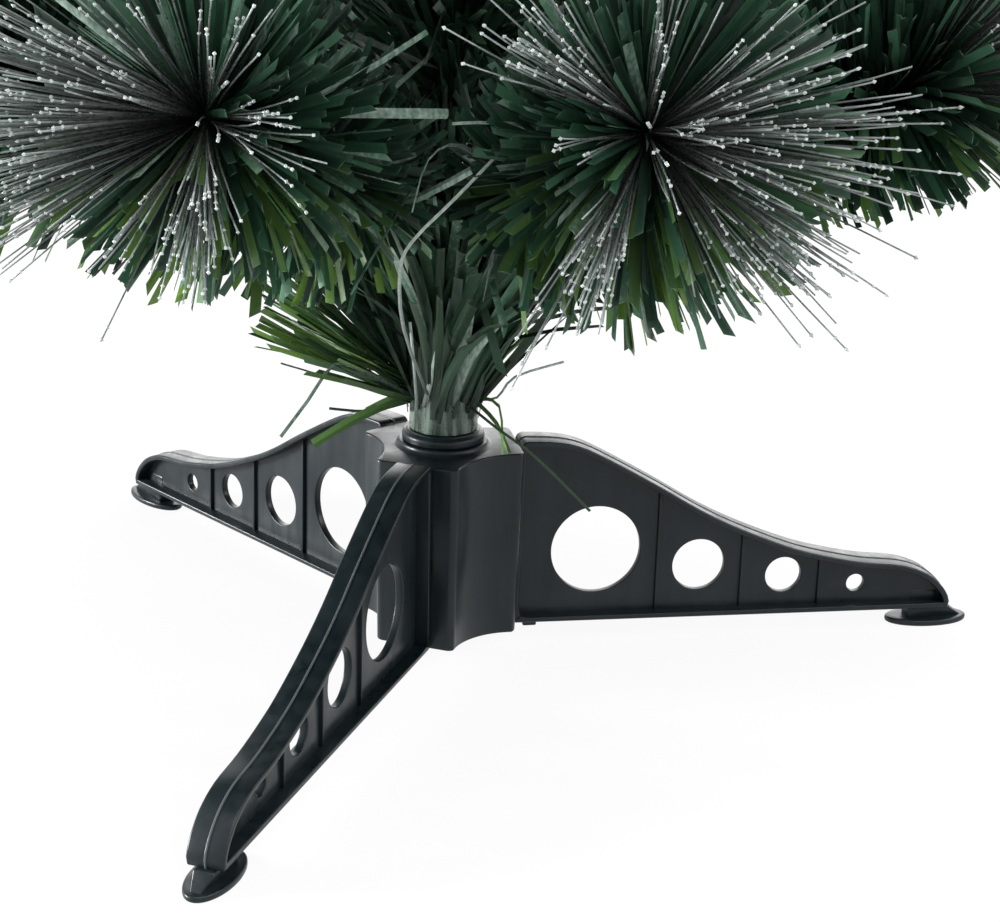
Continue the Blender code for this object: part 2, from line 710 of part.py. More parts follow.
def build_stand():
    leg = leg_mesh()
    pad = pad_mesh()
    hub = add_object("stand_hub", hub_mesh(), PLASTIC)
    hub.rotation_euler = (0, 0, math.radians(FIRST_LEG_AZIMUTH))
    for number, side in enumerate(LEG_SIDES):
        socket = add_empty(f"{side}_leg_place", (0, 0, 0), FIRST_LEG_AZIMUTH + number * 360 / len(LEG_SIDES))
        add_object(f"leg_{side}", leg, PLASTIC, socket)
        foot = add_object(f"foot_pad_{side}", pad, PLASTIC, socket)
        foot.location = (pad_place(), 0, 0)


def build_trunk():
    add_object("trunk_plug", plug_mesh(), PLASTIC)
    low = spigot_bottom() + GAP
    tube = closed_profile(SLEEVE_RADIUS - SLEEVE_WALL, SLEEVE_RADIUS, low, low + SLEEVE_LENGTH)
    add_object("trunk_sleeve", turned("sleeve", tube, TURNED_STEPS), SLEEVE)
    add_object("fibre_bundle", bundle_mesh(), FIBRE)
    add_object("trunk_pole", pole_mesh(), WIRE)
    skirt = upright_brush_mesh(
        "skirt", SKIRT_BOTTOM, SKIRT_BOTTOM + SKIRT_HEIGHT, SLEEVE_RADIUS + 2 * GAP, SKIRT_WALL,
        SKIRT_SIDES, 0, SKIRT_PLACE_SHARES, SKIRT_ANGLES, SKIRT_STRAND_LENGTHS,
    )
    add_object("trunk_needles", skirt, NEEDLE)
    bottoms = [root_height(tier) + above for tier, above in zip(tiers(), WRAP_ABOVE_RING)]
    wraps = zip(WRAP_NAMES, bottoms, WRAP_HEIGHTS, WRAP_SIDES, WRAP_AZIMUTHS, WRAP_ANGLES, WRAP_STRAND_LENGTHS)
    for name, bottom, height, sides, azimuth, angles, lengths in wraps:
        mesh = upright_brush_mesh(
            name, bottom, bottom + height, POLE_RADIUS + 2 * GAP, WRAP_WALL, sides, azimuth,
            WRAP_PLACE_SHARES, angles, lengths,
        )
        add_object(name, mesh, NEEDLE)
    tip_length = (TREE_HEIGHT - POLE_TOP) / math.cos(math.radians(TOP_ANGLES[-1]))
    crown_bottom = POLE_TOP - SPIKE_LENGTH + TOP_BRUSH_ABOVE_SHOULDER
    crown = upright_brush_mesh(
        "crown", crown_bottom, POLE_TOP + WIRE_END_SHORT, SPIKE_RADIUS + 2 * GAP, TOP_BRUSH_WALL,
        BRUSH_SIDES, 0, TOP_PLACE_SHARES, TOP_ANGLES, (*TOP_STRAND_LENGTHS, tip_length),
    )
    add_object("top_brush", crown, NEEDLE)


def build_branches():
    brushes = zip(BRUSH_PLACE_SHARES, BRUSH_ANGLES, BRUSH_STRAND_LENGTHS)
    for number, (tier, rings) in enumerate(zip(tiers(), brushes), 1):
        wire = wire_mesh(f"wire_{number}", tier)
        brush = branch_brush_mesh(f"brush_{number}", tier, *rings)
        for place in range(tier["count"]):
            azimuth = tier["azimuth"] + place * 360 / tier["count"]
            turn = math.radians(azimuth)
            root = (RING_RADIUS * math.cos(turn), RING_RADIUS * math.sin(turn), root_height(tier))
            hinge = add_empty(f"hinge_{number}_{place + 1}", root, azimuth)
            add_object(f"branch_wire_{number}_{place + 1}", wire, WIRE, hinge)
            add_object(f"branch_needles_{number}_{place + 1}", brush, NEEDLE, hinge)


clear_scene()
TREE = make_collection("christmas_tree")
TOOLS = make_collection("cutters")
PLASTIC = make_material("satin_black_plastic", (0.022, 0.028, 0.031), 0.38)
SLEEVE = make_material("grey_green_sleeve", (0.30, 0.36, 0.32), 0.25, alpha=0.6)
FIBRE = make_material("clear_fibre", (0.55, 0.62, 0.58), 0.3)
WIRE = make_material("green_coated_wire", (0.02, 0.06, 0.03), 0.5, metallic=0.4)
NEEDLE = make_material("green_needle_film", (0.012, 0.07, 0.022), 0.45)
build_stand()
build_trunk()
build_branches()
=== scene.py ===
"""The looks of a small artificial christmas tree on a three-legged plastic stand.

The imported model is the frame, in metres: the floor is at z = 0 and the trunk
stands on the Z axis. Every node gets a finer piece on the same body: moulded
legs, hub and pads, a turned plug and sleeve, wires twisted of two strands, and
brushes of film needles with sprays of clear fibres that carry white beads.
"""

import json
import math
import random

import bmesh
import bpy
from mathutils import Matrix, Vector


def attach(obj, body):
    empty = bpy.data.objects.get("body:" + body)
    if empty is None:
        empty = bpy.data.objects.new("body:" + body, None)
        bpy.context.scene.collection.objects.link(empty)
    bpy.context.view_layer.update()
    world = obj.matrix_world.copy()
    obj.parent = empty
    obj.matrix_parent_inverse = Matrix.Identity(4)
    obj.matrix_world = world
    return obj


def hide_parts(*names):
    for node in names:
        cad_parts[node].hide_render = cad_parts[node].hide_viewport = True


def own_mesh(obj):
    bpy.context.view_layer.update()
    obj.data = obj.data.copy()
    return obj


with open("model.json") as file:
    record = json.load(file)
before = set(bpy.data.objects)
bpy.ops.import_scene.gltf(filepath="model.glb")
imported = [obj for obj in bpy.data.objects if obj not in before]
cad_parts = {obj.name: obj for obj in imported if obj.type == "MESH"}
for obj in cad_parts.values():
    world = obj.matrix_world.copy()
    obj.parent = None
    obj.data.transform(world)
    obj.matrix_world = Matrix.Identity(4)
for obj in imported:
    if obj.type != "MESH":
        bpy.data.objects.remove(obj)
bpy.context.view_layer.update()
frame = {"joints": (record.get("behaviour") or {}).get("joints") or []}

MM = 0.001
FULL_TURN = 2 * math.pi
QUARTER_TURN = FULL_TURN / 4
GOLDEN_TURN = FULL_TURN * 0.381966
WELD = 0.002 * MM

# Leg, in its own frame: X runs out from the trunk axis and Z up from the floor
LEG_AZIMUTHS = {"right": 10.4, "left": 130.4, "front": -109.6}
LEG_INNER_RADIUS = 24.3 * MM
LEG_TIP_RADIUS = 165 * MM
LEG_TOP = 66 * MM
LEG_UNDERSIDE_AT_HUB = 7.6 * MM
LEG_UNDERSIDE_AT_TIP = 5.6 * MM
LEG_TOP_SHARES = (
    (0.0, 1.0), (0.065, 0.992), (0.12, 0.963), (0.185, 0.887), (0.297, 0.732),
    (0.392, 0.592), (0.482, 0.48), (0.595, 0.366), (0.672, 0.308), (0.773, 0.254),
    (0.87, 0.224), (0.93, 0.168), (0.966, 0.094), (0.982, 0.036), (0.986, 0.004),
)
LEG_CURVE_STEPS = 4
LEG_END_AT_TOP = 22.9 * MM
LEG_END_AT_BOTTOM = 21.9 * MM
LEG_TOE_UNDERCUT = 0.5 * MM
LEG_CORNER = 2.2 * MM
LEG_CORNER_STEPS = 6
FLANGE_WIDTH = 10.6 * MM
FLANGE_THICK = 1.8 * MM
FLANGE_ROUNDING = 0.55 * MM
SEAM_PROUD = 0.28 * MM
SEAM_WIDTH = 0.62 * MM
SEAM_ROUNDING = 0.26 * MM
WEB_THICK = 2.4 * MM
# Lightening holes: distance from the trunk axis, height and radius in millimetres, sides
HOLES = ((48.1, 29.1, 14.0, 72), (81.0, 22.6, 8.3, 56), (108.7, 17.9, 5.8, 48), (132.6, 14.0, 2.9, 32))
HOLE_RIM = 0.35 * MM
HOLE_MARGIN = 0.2 * MM
RIB_PLACES = (67.6 * MM, 94.8 * MM, 120.3 * MM)
RIB_THICK = 0.9 * MM
RIB_PROUD = 1.1 * MM
RIB_ROUNDING = 0.25 * MM
LUG_PLACE = 27.8 * MM
LUG_SIZE = Vector((4.2 * MM, 5 * MM, 3 * MM))
LUG_DROP = 2.2 * MM
LUG_ROUNDING = 0.4 * MM
TIP_BLOCK_SIZE = Vector((9 * MM, 2.7 * MM, 4 * MM))
TIP_BLOCK_INSET = 1.7 * MM
TIP_BLOCK_ROUNDING = 0.6 * MM
RAIL_RADIUS = 15.4 * MM
RAIL_THICK = 2.6 * MM
RAIL_MIDDLE = RAIL_RADIUS + RAIL_THICK / 2
RAIL_WIDTH = 8.6 * MM
RAIL_LOW = 9.6 * MM
RAIL_HIGH = 61.7 * MM
RAIL_ROUNDING = 0.3 * MM
RAIL_NECK_ROUNDING = 0.2 * MM

# Foot pad under each leg tip
PAD_PLACE = 157.3 * MM
PAD_LENGTH = 26.7 * MM
PAD_WIDTH = 12.6 * MM
PAD_THICK = 1.8 * MM
PAD_HOLLOW = 0.5 * MM
# Shares of the pad's half length: the hollow's flat and its rim, and the flat above
PAD_HOLLOW_SHARES = (0.62, 0.72)
PAD_FLAT_SHARE = 0.8
PAD_ROUNDING = 0.7 * MM
PAD_STEPS = 64
NECK_SIZE = Vector((14 * MM, 6 * MM, 4.6 * MM))
NECK_TOE = 4.4 * MM
NECK_TOE_WIDTH_SHARE = 0.5
NECK_ROUNDING = 0.7 * MM
PEG_RADIUS = 1.3 * MM
PEG_TOP = 9.4 * MM
PEG_ROUNDING = 0.4 * MM

# Hub, in a frame whose X axis points at the right leg
HUB_BOTTOM = 7.6 * MM
HUB_TOP = 65 * MM
STUB_REACH = 22.6 * MM
STUB_HALF_WIDTH = 13.2 * MM
STUB_CORNER = 2.6 * MM
WAIST_RADIUS = 18.2 * MM
HUB_BOTTOM_SHARE = 0.95
HUB_ROUNDING = 0.6 * MM
CORNER_STEPS = 10
WAIST_STEPS = 20
FLARE_FOOT_RADIUS = 15.4 * MM
FLARE_RADIUS = 13.2 * MM
FLARE_TOP = 66.6 * MM
FLARE_SUNK = 0.1 * MM
FLARE_ROUNDING = 0.35 * MM
FLARE_STEPS = 6
SOCKET_RADIUS = 9.1 * MM
SOCKET_FLOOR = 28 * MM
SOCKET_FLOOR_THICK = 2.4 * MM
RUNNING_GAP = 0.3 * MM
OVERRUN = 2 * MM

# Trunk: plug, sleeve, bundle and pole
SHOULDER_LOW = 66.9 * MM
SHOULDER_HIGH = 70.1 * MM
SHOULDER_RADIUS = 12.3 * MM
# The shoulder's top: a rim round the sleeve, a ledge, and a slope down to its side
RIM_TOP_WIDTH = 0.6 * MM
RIM_FOOT_WIDTH = 0.9 * MM
RIM_HEIGHT = 0.5 * MM
LEDGE_INSET = 0.5 * MM
LEDGE_DROP = 0.7 * MM
SIDE_DROP = 1.4 * MM
SPIGOT_RADIUS = 8.5 * MM
SPIGOT_TOP = 84.1 * MM
STUB_RADIUS = 8.8 * MM
PLUG_BOTTOM = 28.3 * MM
PLUG_BORE_FLOOR = 40.1 * MM
PLUG_ROUNDING = 0.35 * MM
TURNED_STEPS = 72
SLIM_STEPS = 24
SLEEVE_RADIUS = 10.15 * MM
SLEEVE_WALL = 1.2 * MM
SLEEVE_LOW = 70.4 * MM
SLEEVE_HIGH = 112.4 * MM
SLEEVE_ROUNDING = 0.3 * MM
BUNDLE_LOW = 84.4 * MM
BUNDLE_HIGH = 117.1 * MM
BUNDLE_ROWS = ((4.7 * MM, 22), (6.3 * MM, 30), (7.8 * MM, 38))
ROD_RADIUS = 0.62 * MM
ROD_TAPER = 0.8
ROD_UNEVEN = 4 * MM
ROD_SHIFT = 0.15 * MM
ROD_TURN = 0.2
POLE_RADIUS = 3.5 * MM
POLE_LOW = 40.4 * MM
POLE_SHOULDER = 462 * MM
POLE_TOP = 592 * MM
SPIKE_RADIUS = 1.5 * MM
SPIKE_TAPER = 4 * MM
POLE_ROUNDING = 0.5 * MM
RING_RADIUS = 10.5 * MM
RING_WIRE_RADIUS = 1.1 * MM
RING_STEPS = 48
BOSS_RADIUS = 5.4 * MM
BOSS_HEIGHT = 3 * MM
BOSS_SUNK = 0.2 * MM
BOSS_ROUNDING = 0.4 * MM
BOSS_STEPS = 32
SPOKE_SIZE = Vector((7 * MM, 1.6 * MM, 1.4 * MM))
SPOKE_ROUNDING = 0.3 * MM

# Branch wire, a twisted pair with an eye that hangs on the tier's ring
WIRE_RADIUS = 1.2 * MM
STRAND_RADIUS = 0.62 * MM
STRAND_OFFSET = 0.56 * MM
TWIST_PITCH = 7.5 * MM
TWIST_STEPS = 8
EYE_RADIUS = 2.7 * MM
EYE_TURN = 260
EYE_STEPS = 22
WIRE_END_SHORT = 1 * MM

# Film needles: thin three-sided strips with a fold along the middle. A shape is the
# strip's bow and the slant of its end, as shares of its length, and its twist.
STRIP_SHAPES = (
    (0.03, 0.018, 20), (-0.03, -0.02, -32), (0.07, 0.0, 48), (0.01, 0.026, -12),
    (-0.06, -0.008, 30), (0.05, -0.024, -55), (-0.01, 0.0, 8), (0.02, 0.01, -8),
)
# The broad blades round the sleeve, which stand up before they bend outwards
BLADE_SHAPES = ((0.2, 0.02, 6), (0.12, -0.015, -14), (0.28, 0.01, 10), (0.16, -0.02, -6), (0.07, 0.015, 16))
NEEDLE_MARKS = ("along", "edge", "tone", "warm")
STRIP_FOLD_SHARE = 0.006
STRIP_WIDTH_SHARE = 0.052
STRIP_STOPS = (0.34, 0.68, 0.965, 1.0)
# A point is on the edge beyond this share of the width, and slants with the end
# beyond this share of the length
STRIP_EDGE_FROM = 0.25
STRIP_SLANT_FROM = 0.9
# The width at the root as a share of the full one, which is reached at a third of
# the length
STRIP_ROOT = 0.45
STRIP_WIDENING = 3
FIBRE_MARKS = ("along", "bead", "tone")
FIBRE_RADIUS = 0.23 * MM
FIBRE_JOINTS = 5
BEAD_RADIUS = 0.5 * MM
BEAD_STRETCH = 2.0
# A fibre's length, its bow as a share of that, and how many beads it carries
FIBRE_SHAPES = (
    (78 * MM, 0.04, 2), (86 * MM, -0.03, 1), (68 * MM, 0.06, 3), (90 * MM, 0.02, 2), (84 * MM, 0.05, 0),
    (60 * MM, -0.04, 2), (82 * MM, 0.07, 1), (74 * MM, -0.01, 3), (80 * MM, -0.05, 0),
)
BEAD_SPACING = 2.9 * MM

# The tree's reach, which no needle or fibre passes
REACH = 195 * MM
TREE_TOP = 636 * MM
CAMERA_PLACE = Vector((5.7, -669.0, 293.7)) * MM

# Stretches of a branch's wire that carry needles, as shares of its length
STRETCHES = ((0.27, 0.80), (0.80, 0.95), (0.95, 1.0))
# Tiers, lowest first: the number of branches, the tips' radius, the rise in
# degrees and the number of fibres at a tip. Then, for each stretch of a wire, its
# needles' angles from the wire at both ends and their number, and the needles'
# lengths in millimetres where the stretches start and end.
TIERS = (
    (8, 134 * MM, 22, 230, ((66, 80, 440), (82, 66, 380), (64, 42, 260)), (36, 46, 51, 47)),
    (6, 112 * MM, 28, 190, ((66, 80, 360), (80, 62, 300), (60, 36, 210)), (34, 43, 47, 43)),
    (5, 84 * MM, 35, 140, ((66, 78, 280), (78, 60, 240), (58, 24, 200)), (30, 38, 42, 38)),
    (3, 52 * MM, 50, 90, ((66, 76, 190), (76, 58, 150), (56, 22, 140)), (26, 34, 38, 34)),
)
NEEDLE_WIDTH = 2.3 * MM
NEEDLE_WIDTHS = (0.6, 1.25)
# How far needles vary: degrees of lean, radians of roll and of their own spin
NEEDLE_SPREADS = (6, 0.06, 0.95)
# The longest needle as a share of its row's length, how much shorter the shortest
# is, and the power that makes short ones rare
NEEDLE_LENGTHS = (1.09, 0.46, 1.2)
# The share of needles that light shines through, the sine of the rise up to which it
# does, and the least share of its glow that a lit one has
LIT_NEEDLES = 0.42
LIT_RISE = 0.15
LEAST_GLOW = 0.25
# A strip's tone: the share of pale strips, whose sheen is painted, and their range,
# then the lightest of the others and the power that makes light ones rarer
NEEDLE_TONES = (0.06, 0.86, 0.95, 0.9, 1.4)
BLADE_TONES = (0.11, 0.85, 0.95, 0.5, 1.8)
# Needles stand in loose clumps round a wire: how many, how far they are drawn
# together, and how far the clumps wind round it
CLUMPS = 9
CLUMP_PULL = 0.11
CLUMP_WIND = 5
# The length of the needles on single brushes, as a share of the tier's
FULLNESS = {"1_1": 0.9}
# Single brushes have shorter needles on one side. The vector points to that side, and
# its length is the share that they lose.
SHORTER = {"1_1": Vector((0.12, 0, 0)), "1_2": Vector((-0.4, 0, 0)), "1_3": Vector((0.05, 0, -0.4))}
# Fibres stand in sprays. A spray is its turn from straight up towards image
# left, its angle from the frame's X axis, the number of its fibres, and how far
# the turn and the angle vary. On these two brushes X points at the camera.
FACING_SPRAYS = {
    "1_1": (
        (75, 58, 100, 9, 14), (92, 62, 45, 5, 12), (112, 58, 60, 7, 10), (148, 36, 12, 4, 5),
        (174, 24, 46, 6, 6), (-88, 13, 9, 5, 3), (-120, 15, 12, 5, 4), (-14, 12, 9, 7, 4),
        (-24, 27, 5, 4, 5), (66, 24, 25, 10, 8), (30, 30, 14, 15, 8),
    ),
    "1_2": (
        (-62, 30, 42, 12, 14), (-85, 45, 45, 9, 16), (-108, 45, 55, 10, 16), (-127, 52, 40, 6, 7),
        (-138, 40, 26, 7, 6), (162, 32, 45, 5, 6), (163, 37, 4, 3, 3), (48, 28, 30, 8, 8),
        (62, 30, 14, 4, 4), (103, 13, 5, 4, 2), (-5, 25, 14, 6, 10), (-80, 10, 12, 20, 3),
        (-150, 10, 8, 12, 3),
    ),
}
# On the others X points along the wire, and the sprays stand all round it
SPRAYS = 9
SPRAY_TURN = 0.4
SPRAY_SPREADS = (11, 7)
SPRAY_LEANS = (20, 55)
# How far along the wire the fibres' roots lie, the least angle from the wire in
# degrees, and how much of a fibre stands out of the wire
FIBRE_ROOTS = 3 * MM
FIBRE_LEAST_LEAN = 3.0
FIBRE_LENGTHS = (0.7, 1.0)

# Blades round the sleeve. A row is its start and end as shares of the span, the
# angles from straight up and the lengths at both, the width, and the number.
SKIRT_LOW = 74 * MM
SKIRT_SPAN = 34 * MM
SKIRT_GAP = 0.4 * MM
SKIRT_ROWS = (
    (0.0, 0.3, 6, 2, 52 * MM, 46 * MM, 3.4 * MM, 60),
    (0.2, 0.7, 14, 6, 52 * MM, 46 * MM, 3.8 * MM, 90),
    (0.6, 1.0, 30, 14, 50 * MM, 44 * MM, 3.2 * MM, 110),
    (0.6, 1.0, 46, 32, 46 * MM, 42 * MM, 2.6 * MM, 90),
)
# How far the blades lean to the right of the photograph, in degrees, and how far
# they vary: degrees of lean, radians of place and of their own spin
SKIRT_DRIFT = 9
SKIRT_SPREADS = (5, 0.15, 0.3)
# Their lengths and widths as shares of the row's, and the most painted backlight glow
SKIRT_LENGTHS = (0.8, 1.1)
SKIRT_WIDTHS = (0.55, 1.3)
SKIRT_BACKLIGHT = 0.06
# Tufts: the azimuth, the rise, the spread of both, the length, the width, how much
# painted backlight glow its green has, how light it may be, and the number of strips
TUFTS = (
    (182, 27, 7, 47 * MM, 1.6 * MM, 0.7, 1.0, 24),
    (180, 42, 9, 50 * MM, 1.6 * MM, 0.2, 0.8, 28),
    (176, 58, 9, 54 * MM, 2.0 * MM, 0.05, 0.5, 24),
    (178, 70, 5, 60 * MM, 2.6 * MM, 0.03, 0.4, 34),
    (181, 31, 6, 50 * MM, 1.8 * MM, 0.9, 0.9, 12),
    (200, 20, 6, 34 * MM, 1.6 * MM, 0.5, 0.8, 8),
    (-12, 62, 8, 50 * MM, 2.2 * MM, 0.05, 0.5, 18),
)
TUFT_HEIGHT = 81 * MM
# How far below and above that height they start, in millimetres, and their
# lengths, widths and painted backlight glow as shares of the tuft's
TUFT_RANGE = (-3, 6)
TUFT_LENGTHS = (0.72, 1.1)
TUFT_WIDTHS = (0.7, 1.3)
TUFT_BACKLIGHTS = (0.1, 1.2)
TUFT_SUNK = 0.2 * MM
TUFT_SPIN = 0.6
# Strips spread this much further sideways than up and down
SIDE_SPREAD = 1.4
# Loose strips from the pole into the gap between the front brushes: their number,
# azimuth, rise and the spread of both, length and width
GAP_STRIPS = (90, -92, 4, 34, 62 * MM, 1.9 * MM)
GAP_LOW = 150 * MM
GAP_SPAN = 52 * MM
GAP_ROOT_SUNK = 0.5 * MM
# Their lengths and widths as shares of these, the share of pale ones, whose sheen is
# painted, and their tones, the lightest of the others, and the most painted backlight glow
GAP_LENGTHS = (0.6, 1.15)
GAP_WIDTHS = (0.5, 1.3)
GAP_PALE = 0.3
GAP_PALE_TONES = (0.9, 1.0)
GAP_LIGHTEST = 0.8
GAP_BACKLIGHT = 0.1
# Single strips by the node whose piece they belong to: the width, the tone, how much
# painted backlight glow, and the points from root to end, in millimetres
STRAYS = {
    "trunk_needles": (
        (3.0, 0.72, 0.5, ((-9.6, -2.5, 80.5), (-24.5, -6, 74.6), (-38.1, -9, 66.6))),
        (2.4, 0.6, 0.4, ((-9.6, -3, 81), (-16, -4, 79.2), (-22.5, -5, 75.9))),
        (0.9, 0.3, 0.0, ((-9.8, -1, 78), (-21.6, 0, 74.3), (-34, 0, 74.8))),
        (1.2, 0.6, 0.55, ((9.2, -3.5, 80.6), (16.2, -8, 79.4), (17.4, -16, 67.2))),
        (1.3, 0.6, 0.45, ((9.2, -5, 80), (15.5, -9, 74.6), (19.6, -15.5, 67.4))),
        (0.9, 0.15, 0.1, ((7.6, -7.4, 79), (15.9, -12.6, 74), (27, -14.6, 66.4), (44.2, -9, 47.7))),
        (1.4, 0.5, 0.4, ((9.8, 0, 80.2), (17.9, 0, 93.1), (38.2, 2, 111.9))),
        (1.2, 0.5, 0.3, ((9.8, 2, 81.1), (22.1, 4, 93.2), (35.2, 6, 108.3))),
        (0.8, 0.97, 0.0, ((9.6, -2, 79.3), (15.7, -2, 80.2), (20.8, -2, 86.7), (35, -2, 91.7))),
        (1.3, 0.93, 0.0, ((-9.6, -3, 80.2), (-24, -9, 89.5), (-31.9, -12, 92), (-39.3, -16, 82),
                          (-46.7, -20, 72.3))),
        (0.9, 1.0, 0.0, ((-7.7, -10.4, 78.1), (-8.8, -12.5, 92.5), (-10.1, -15, 106.4))),
        (1.6, 0.98, 0.0, ((-5.7, -10.5, 79.4), (-4.1, -12, 87), (-2.2, -14, 97.3))),
        (2.4, 0.93, 0.0, ((-2.2, -10.6, 81.1), (-1, -13, 95.8), (2.1, -18, 114.3))),
        (3.2, 0.55, 0.05, ((-2.5, -10.5, 78), (5.3, -16, 98.1), (19.7, -22, 112.7))),
        (2.4, 0.94, 0.0, ((2.5, -10.6, 80.3), (7.4, -15, 95.5), (14.8, -19, 107.3))),
        (3.4, 0.5, 0.05, ((5.4, -9, 80.8), (15.8, -14, 102.9), (33.8, -18, 125.4))),
        (1.0, 1.0, 0.0, ((-4.6, -10.5, 82.8), (-10.6, -60, 117), (-11, -90, 140.8), (-8, -95, 149.9),
                         (2.2, -95, 160.9), (10.8, -95, 170.4), (19.1, -94, 179.6))),
    ),
    "pole_needles_lower": (
        (1.5, 0.85, 0.0, ((-3.4, -1, 160), (-5.8, -60, 161.9), (-9.4, -86, 159.7), (-23.2, -92, 135.1))),
    ),
    "branch_needles_1_1": (
        (2.6, 0.93, 0.0, ((-49, -119, 185.5), (-27.5, -112, 185), (0.3, -100, 183.2))),
        (1.4, 0.93, 0.0, ((-43, -119, 183.8), (-21.3, -110, 193.6), (-5.2, -98, 202.5))),
        (2.2, 0.93, 0.0, ((-20.7, -45.5, 154.1), (-10.5, -72, 155.2), (-1.9, -92, 163.1),
                          (6.2, -96, 168.7))),
    ),
    "branch_needles_1_2": (
        (1.1, 0.97, 0.0, ((28, -74.9, 166.2), (19.1, -86, 177.5), (10.1, -92, 179.7), (1.3, -96, 180))),
        (1.5, 0.94, 0.0, ((17.5, -46.8, 154.1), (3.8, -84, 172.1), (-4.4, -95, 170.7), (-8.1, -97, 158))),
    ),
}
STRAY_STEPS = 3
STRAY_FLATNESS = 0.3
# How many times its radius a three-sided strip is wide
STRAY_BREADTH = 1.8
TOWARDS_CAMERA = Vector((0, -1, 0))

# Needles round the pole: where they start, their stretch of the pole, and the row:
# its start and end as shares of the stretch, the angles from the pole and the
# lengths at both ends, and the number. Close needles stand below the lower wrap
# and very short ones above the upper wrap.
WRAP_ROW = (0.0, 1.0, 58, 44, 40 * MM, 38 * MM, 380)
WRAPS = {
    "pole_needles_lower": (
        (164 * MM, 40 * MM, WRAP_ROW),
        (118 * MM, 58 * MM, (0.0, 1.0, 38, 26, 38 * MM, 34 * MM, 170)),
    ),
    "pole_needles_upper": (
        (252 * MM, 36 * MM, WRAP_ROW),
        (312 * MM, 172 * MM, (0.0, 1.0, 50, 46, 14 * MM, 13 * MM, 320)),
    ),
}
CROWN_LOW = 492 * MM
CROWN_SPAN = 100 * MM
CROWN_ROWS = (
    (0.0, 0.75, 76, 66, 38 * MM, 42 * MM, 400),
    (0.75, 1.0, 64, 14, 42 * MM, 44 * MM, 280),
)
CROWN_FIBRES = 60

# Camera, as it stood for the photograph
CAMERA_YAW = 0.98
CAMERA_PITCH = 19.28
CAMERA_ROLL = 1.76
CAMERA_LENS = 85.34
FLOOR_SIZE = 12.0
WORLD_LIGHT = 0.58
# Soft lights: the place, the size in metres, and the power in watts
LAMPS = {
    "back_softbox": ((0.35, 2.4, 0.9), 2.2, 42),
    "left_softbox": ((-1.88, -0.02, 0.36), 0.6, 88),
    "front_softbox": ((0.9, -1.5, 1.6), 1.2, 10),
    "top_softbox": ((0.1, -0.4, 2.6), 1.4, 38),
    "right_softbox": ((1.7, -0.5, 1.2), 0.9, 18),
}
LAMP_AIM = Vector((0, 0, 0.12))


def math_node(operation, reflected=False):
    """An operator of Number, which adds a Math node."""
    def applied(number, other):
        terms = (other, number) if reflected else (number, other)
        return number.finish.node("ShaderNodeMath", {"operation": operation}, dict(enumerate(terms)))

    return applied


class Number:
    """A socket in a finish. Python's operators on it add Math nodes."""

    def __init__(self, finish, socket):
        self.finish = finish
        self.socket = socket

    __add__ = __radd__ = math_node("ADD")
    __mul__ = __rmul__ = math_node("MULTIPLY")
    __sub__ = math_node("SUBTRACT")
    __rsub__ = math_node("SUBTRACT", reflected=True)
    __truediv__ = math_node("DIVIDE")
    __rtruediv__ = math_node("DIVIDE", reflected=True)
    __pow__ = math_node("POWER")
    __rpow__ = math_node("POWER", reflected=True)
    at_most = math_node("MINIMUM")
    at_least = math_node("MAXIMUM")

    def clamped(self):
        return self.at_most(1.0).at_least(0.0)


class Finish:
    """A material or the world while its nodes are added."""

    def __init__(self, owner):
        owner.use_nodes = True
        self.owner = owner
        self.tree = owner.node_tree

    def node(self, kind, settings=None, inputs=None, output=0):
        """Adds a node. Its settings go first, then the values or links of its sockets."""
        node = self.tree.nodes.new(kind)
        for name, value in (settings or {}).items():
            if name == "stops":
                ramp = node.color_ramp
                while len(ramp.elements) < len(value):
                    ramp.elements.new(1.0)
                for element, (place, colour) in zip(ramp.elements, value):
                    element.position = place
                    element.color = (*colour, 1.0)
            else:
                setattr(node, name, value)
        for key, value in (inputs or {}).items():
            self.feed(self.socket(node.inputs, key), value)
        return Number(self, self.socket(node.outputs, output))

    @staticmethod
    def socket(sockets, key):
        if isinstance(key, int):
            return sockets[key]
        return next(found for found in sockets if key in (found.identifier, found.name))

    def feed(self, socket, value):
        if isinstance(value, Number):
            self.tree.links.new(value.socket, socket)
        elif socket.type == "RGBA" and len(value) == 3:
            socket.default_value = (*value, 1.0)
        else:
            socket.default_value = value

    def shade(self, **values):
        """Sets sockets of the material's Principled shader."""
        shader = self.tree.nodes["Principled BSDF"]
        for name, value in values.items():
            self.feed(self.socket(shader.inputs, name.replace("_", " ")), value)

    def place(self, stretch=(1, 1, 1)):
        """Object coordinates, stretched."""
        source = self.node("ShaderNodeTexCoord", output="Object")
        return self.node("ShaderNodeMapping", inputs={"Vector": source, "Scale": stretch})

    def noise(self, scale, detail=2.0, stretch=(1, 1, 1), rough=0.5):
        inputs = {"Vector": self.place(stretch), "Scale": scale, "Detail": detail, "Roughness": rough}
        return self.node("ShaderNodeTexNoise", inputs=inputs)

    def mark(self, name):
        """The piece's own attribute, one value a point."""
        return self.node("ShaderNodeAttribute", {"attribute_name": name}, output="Fac")

    def mixed(self, factor, first, second):
        return self.node(
            "ShaderNodeMix", {"data_type": "RGBA"},
            {"Factor_Float": factor, "A_Color": first, "B_Color": second}, "Result_Color",
        )

    def bumped(self, height, strength, distance):
        inputs = {"Height": height, "Strength": strength, "Distance": distance}
        return self.node("ShaderNodeBump", inputs=inputs)


def stretched(value, low, high):
    """The value's range from low to high drawn out to 0 to 1."""
    return ((value - low) / (high - low)).clamped()


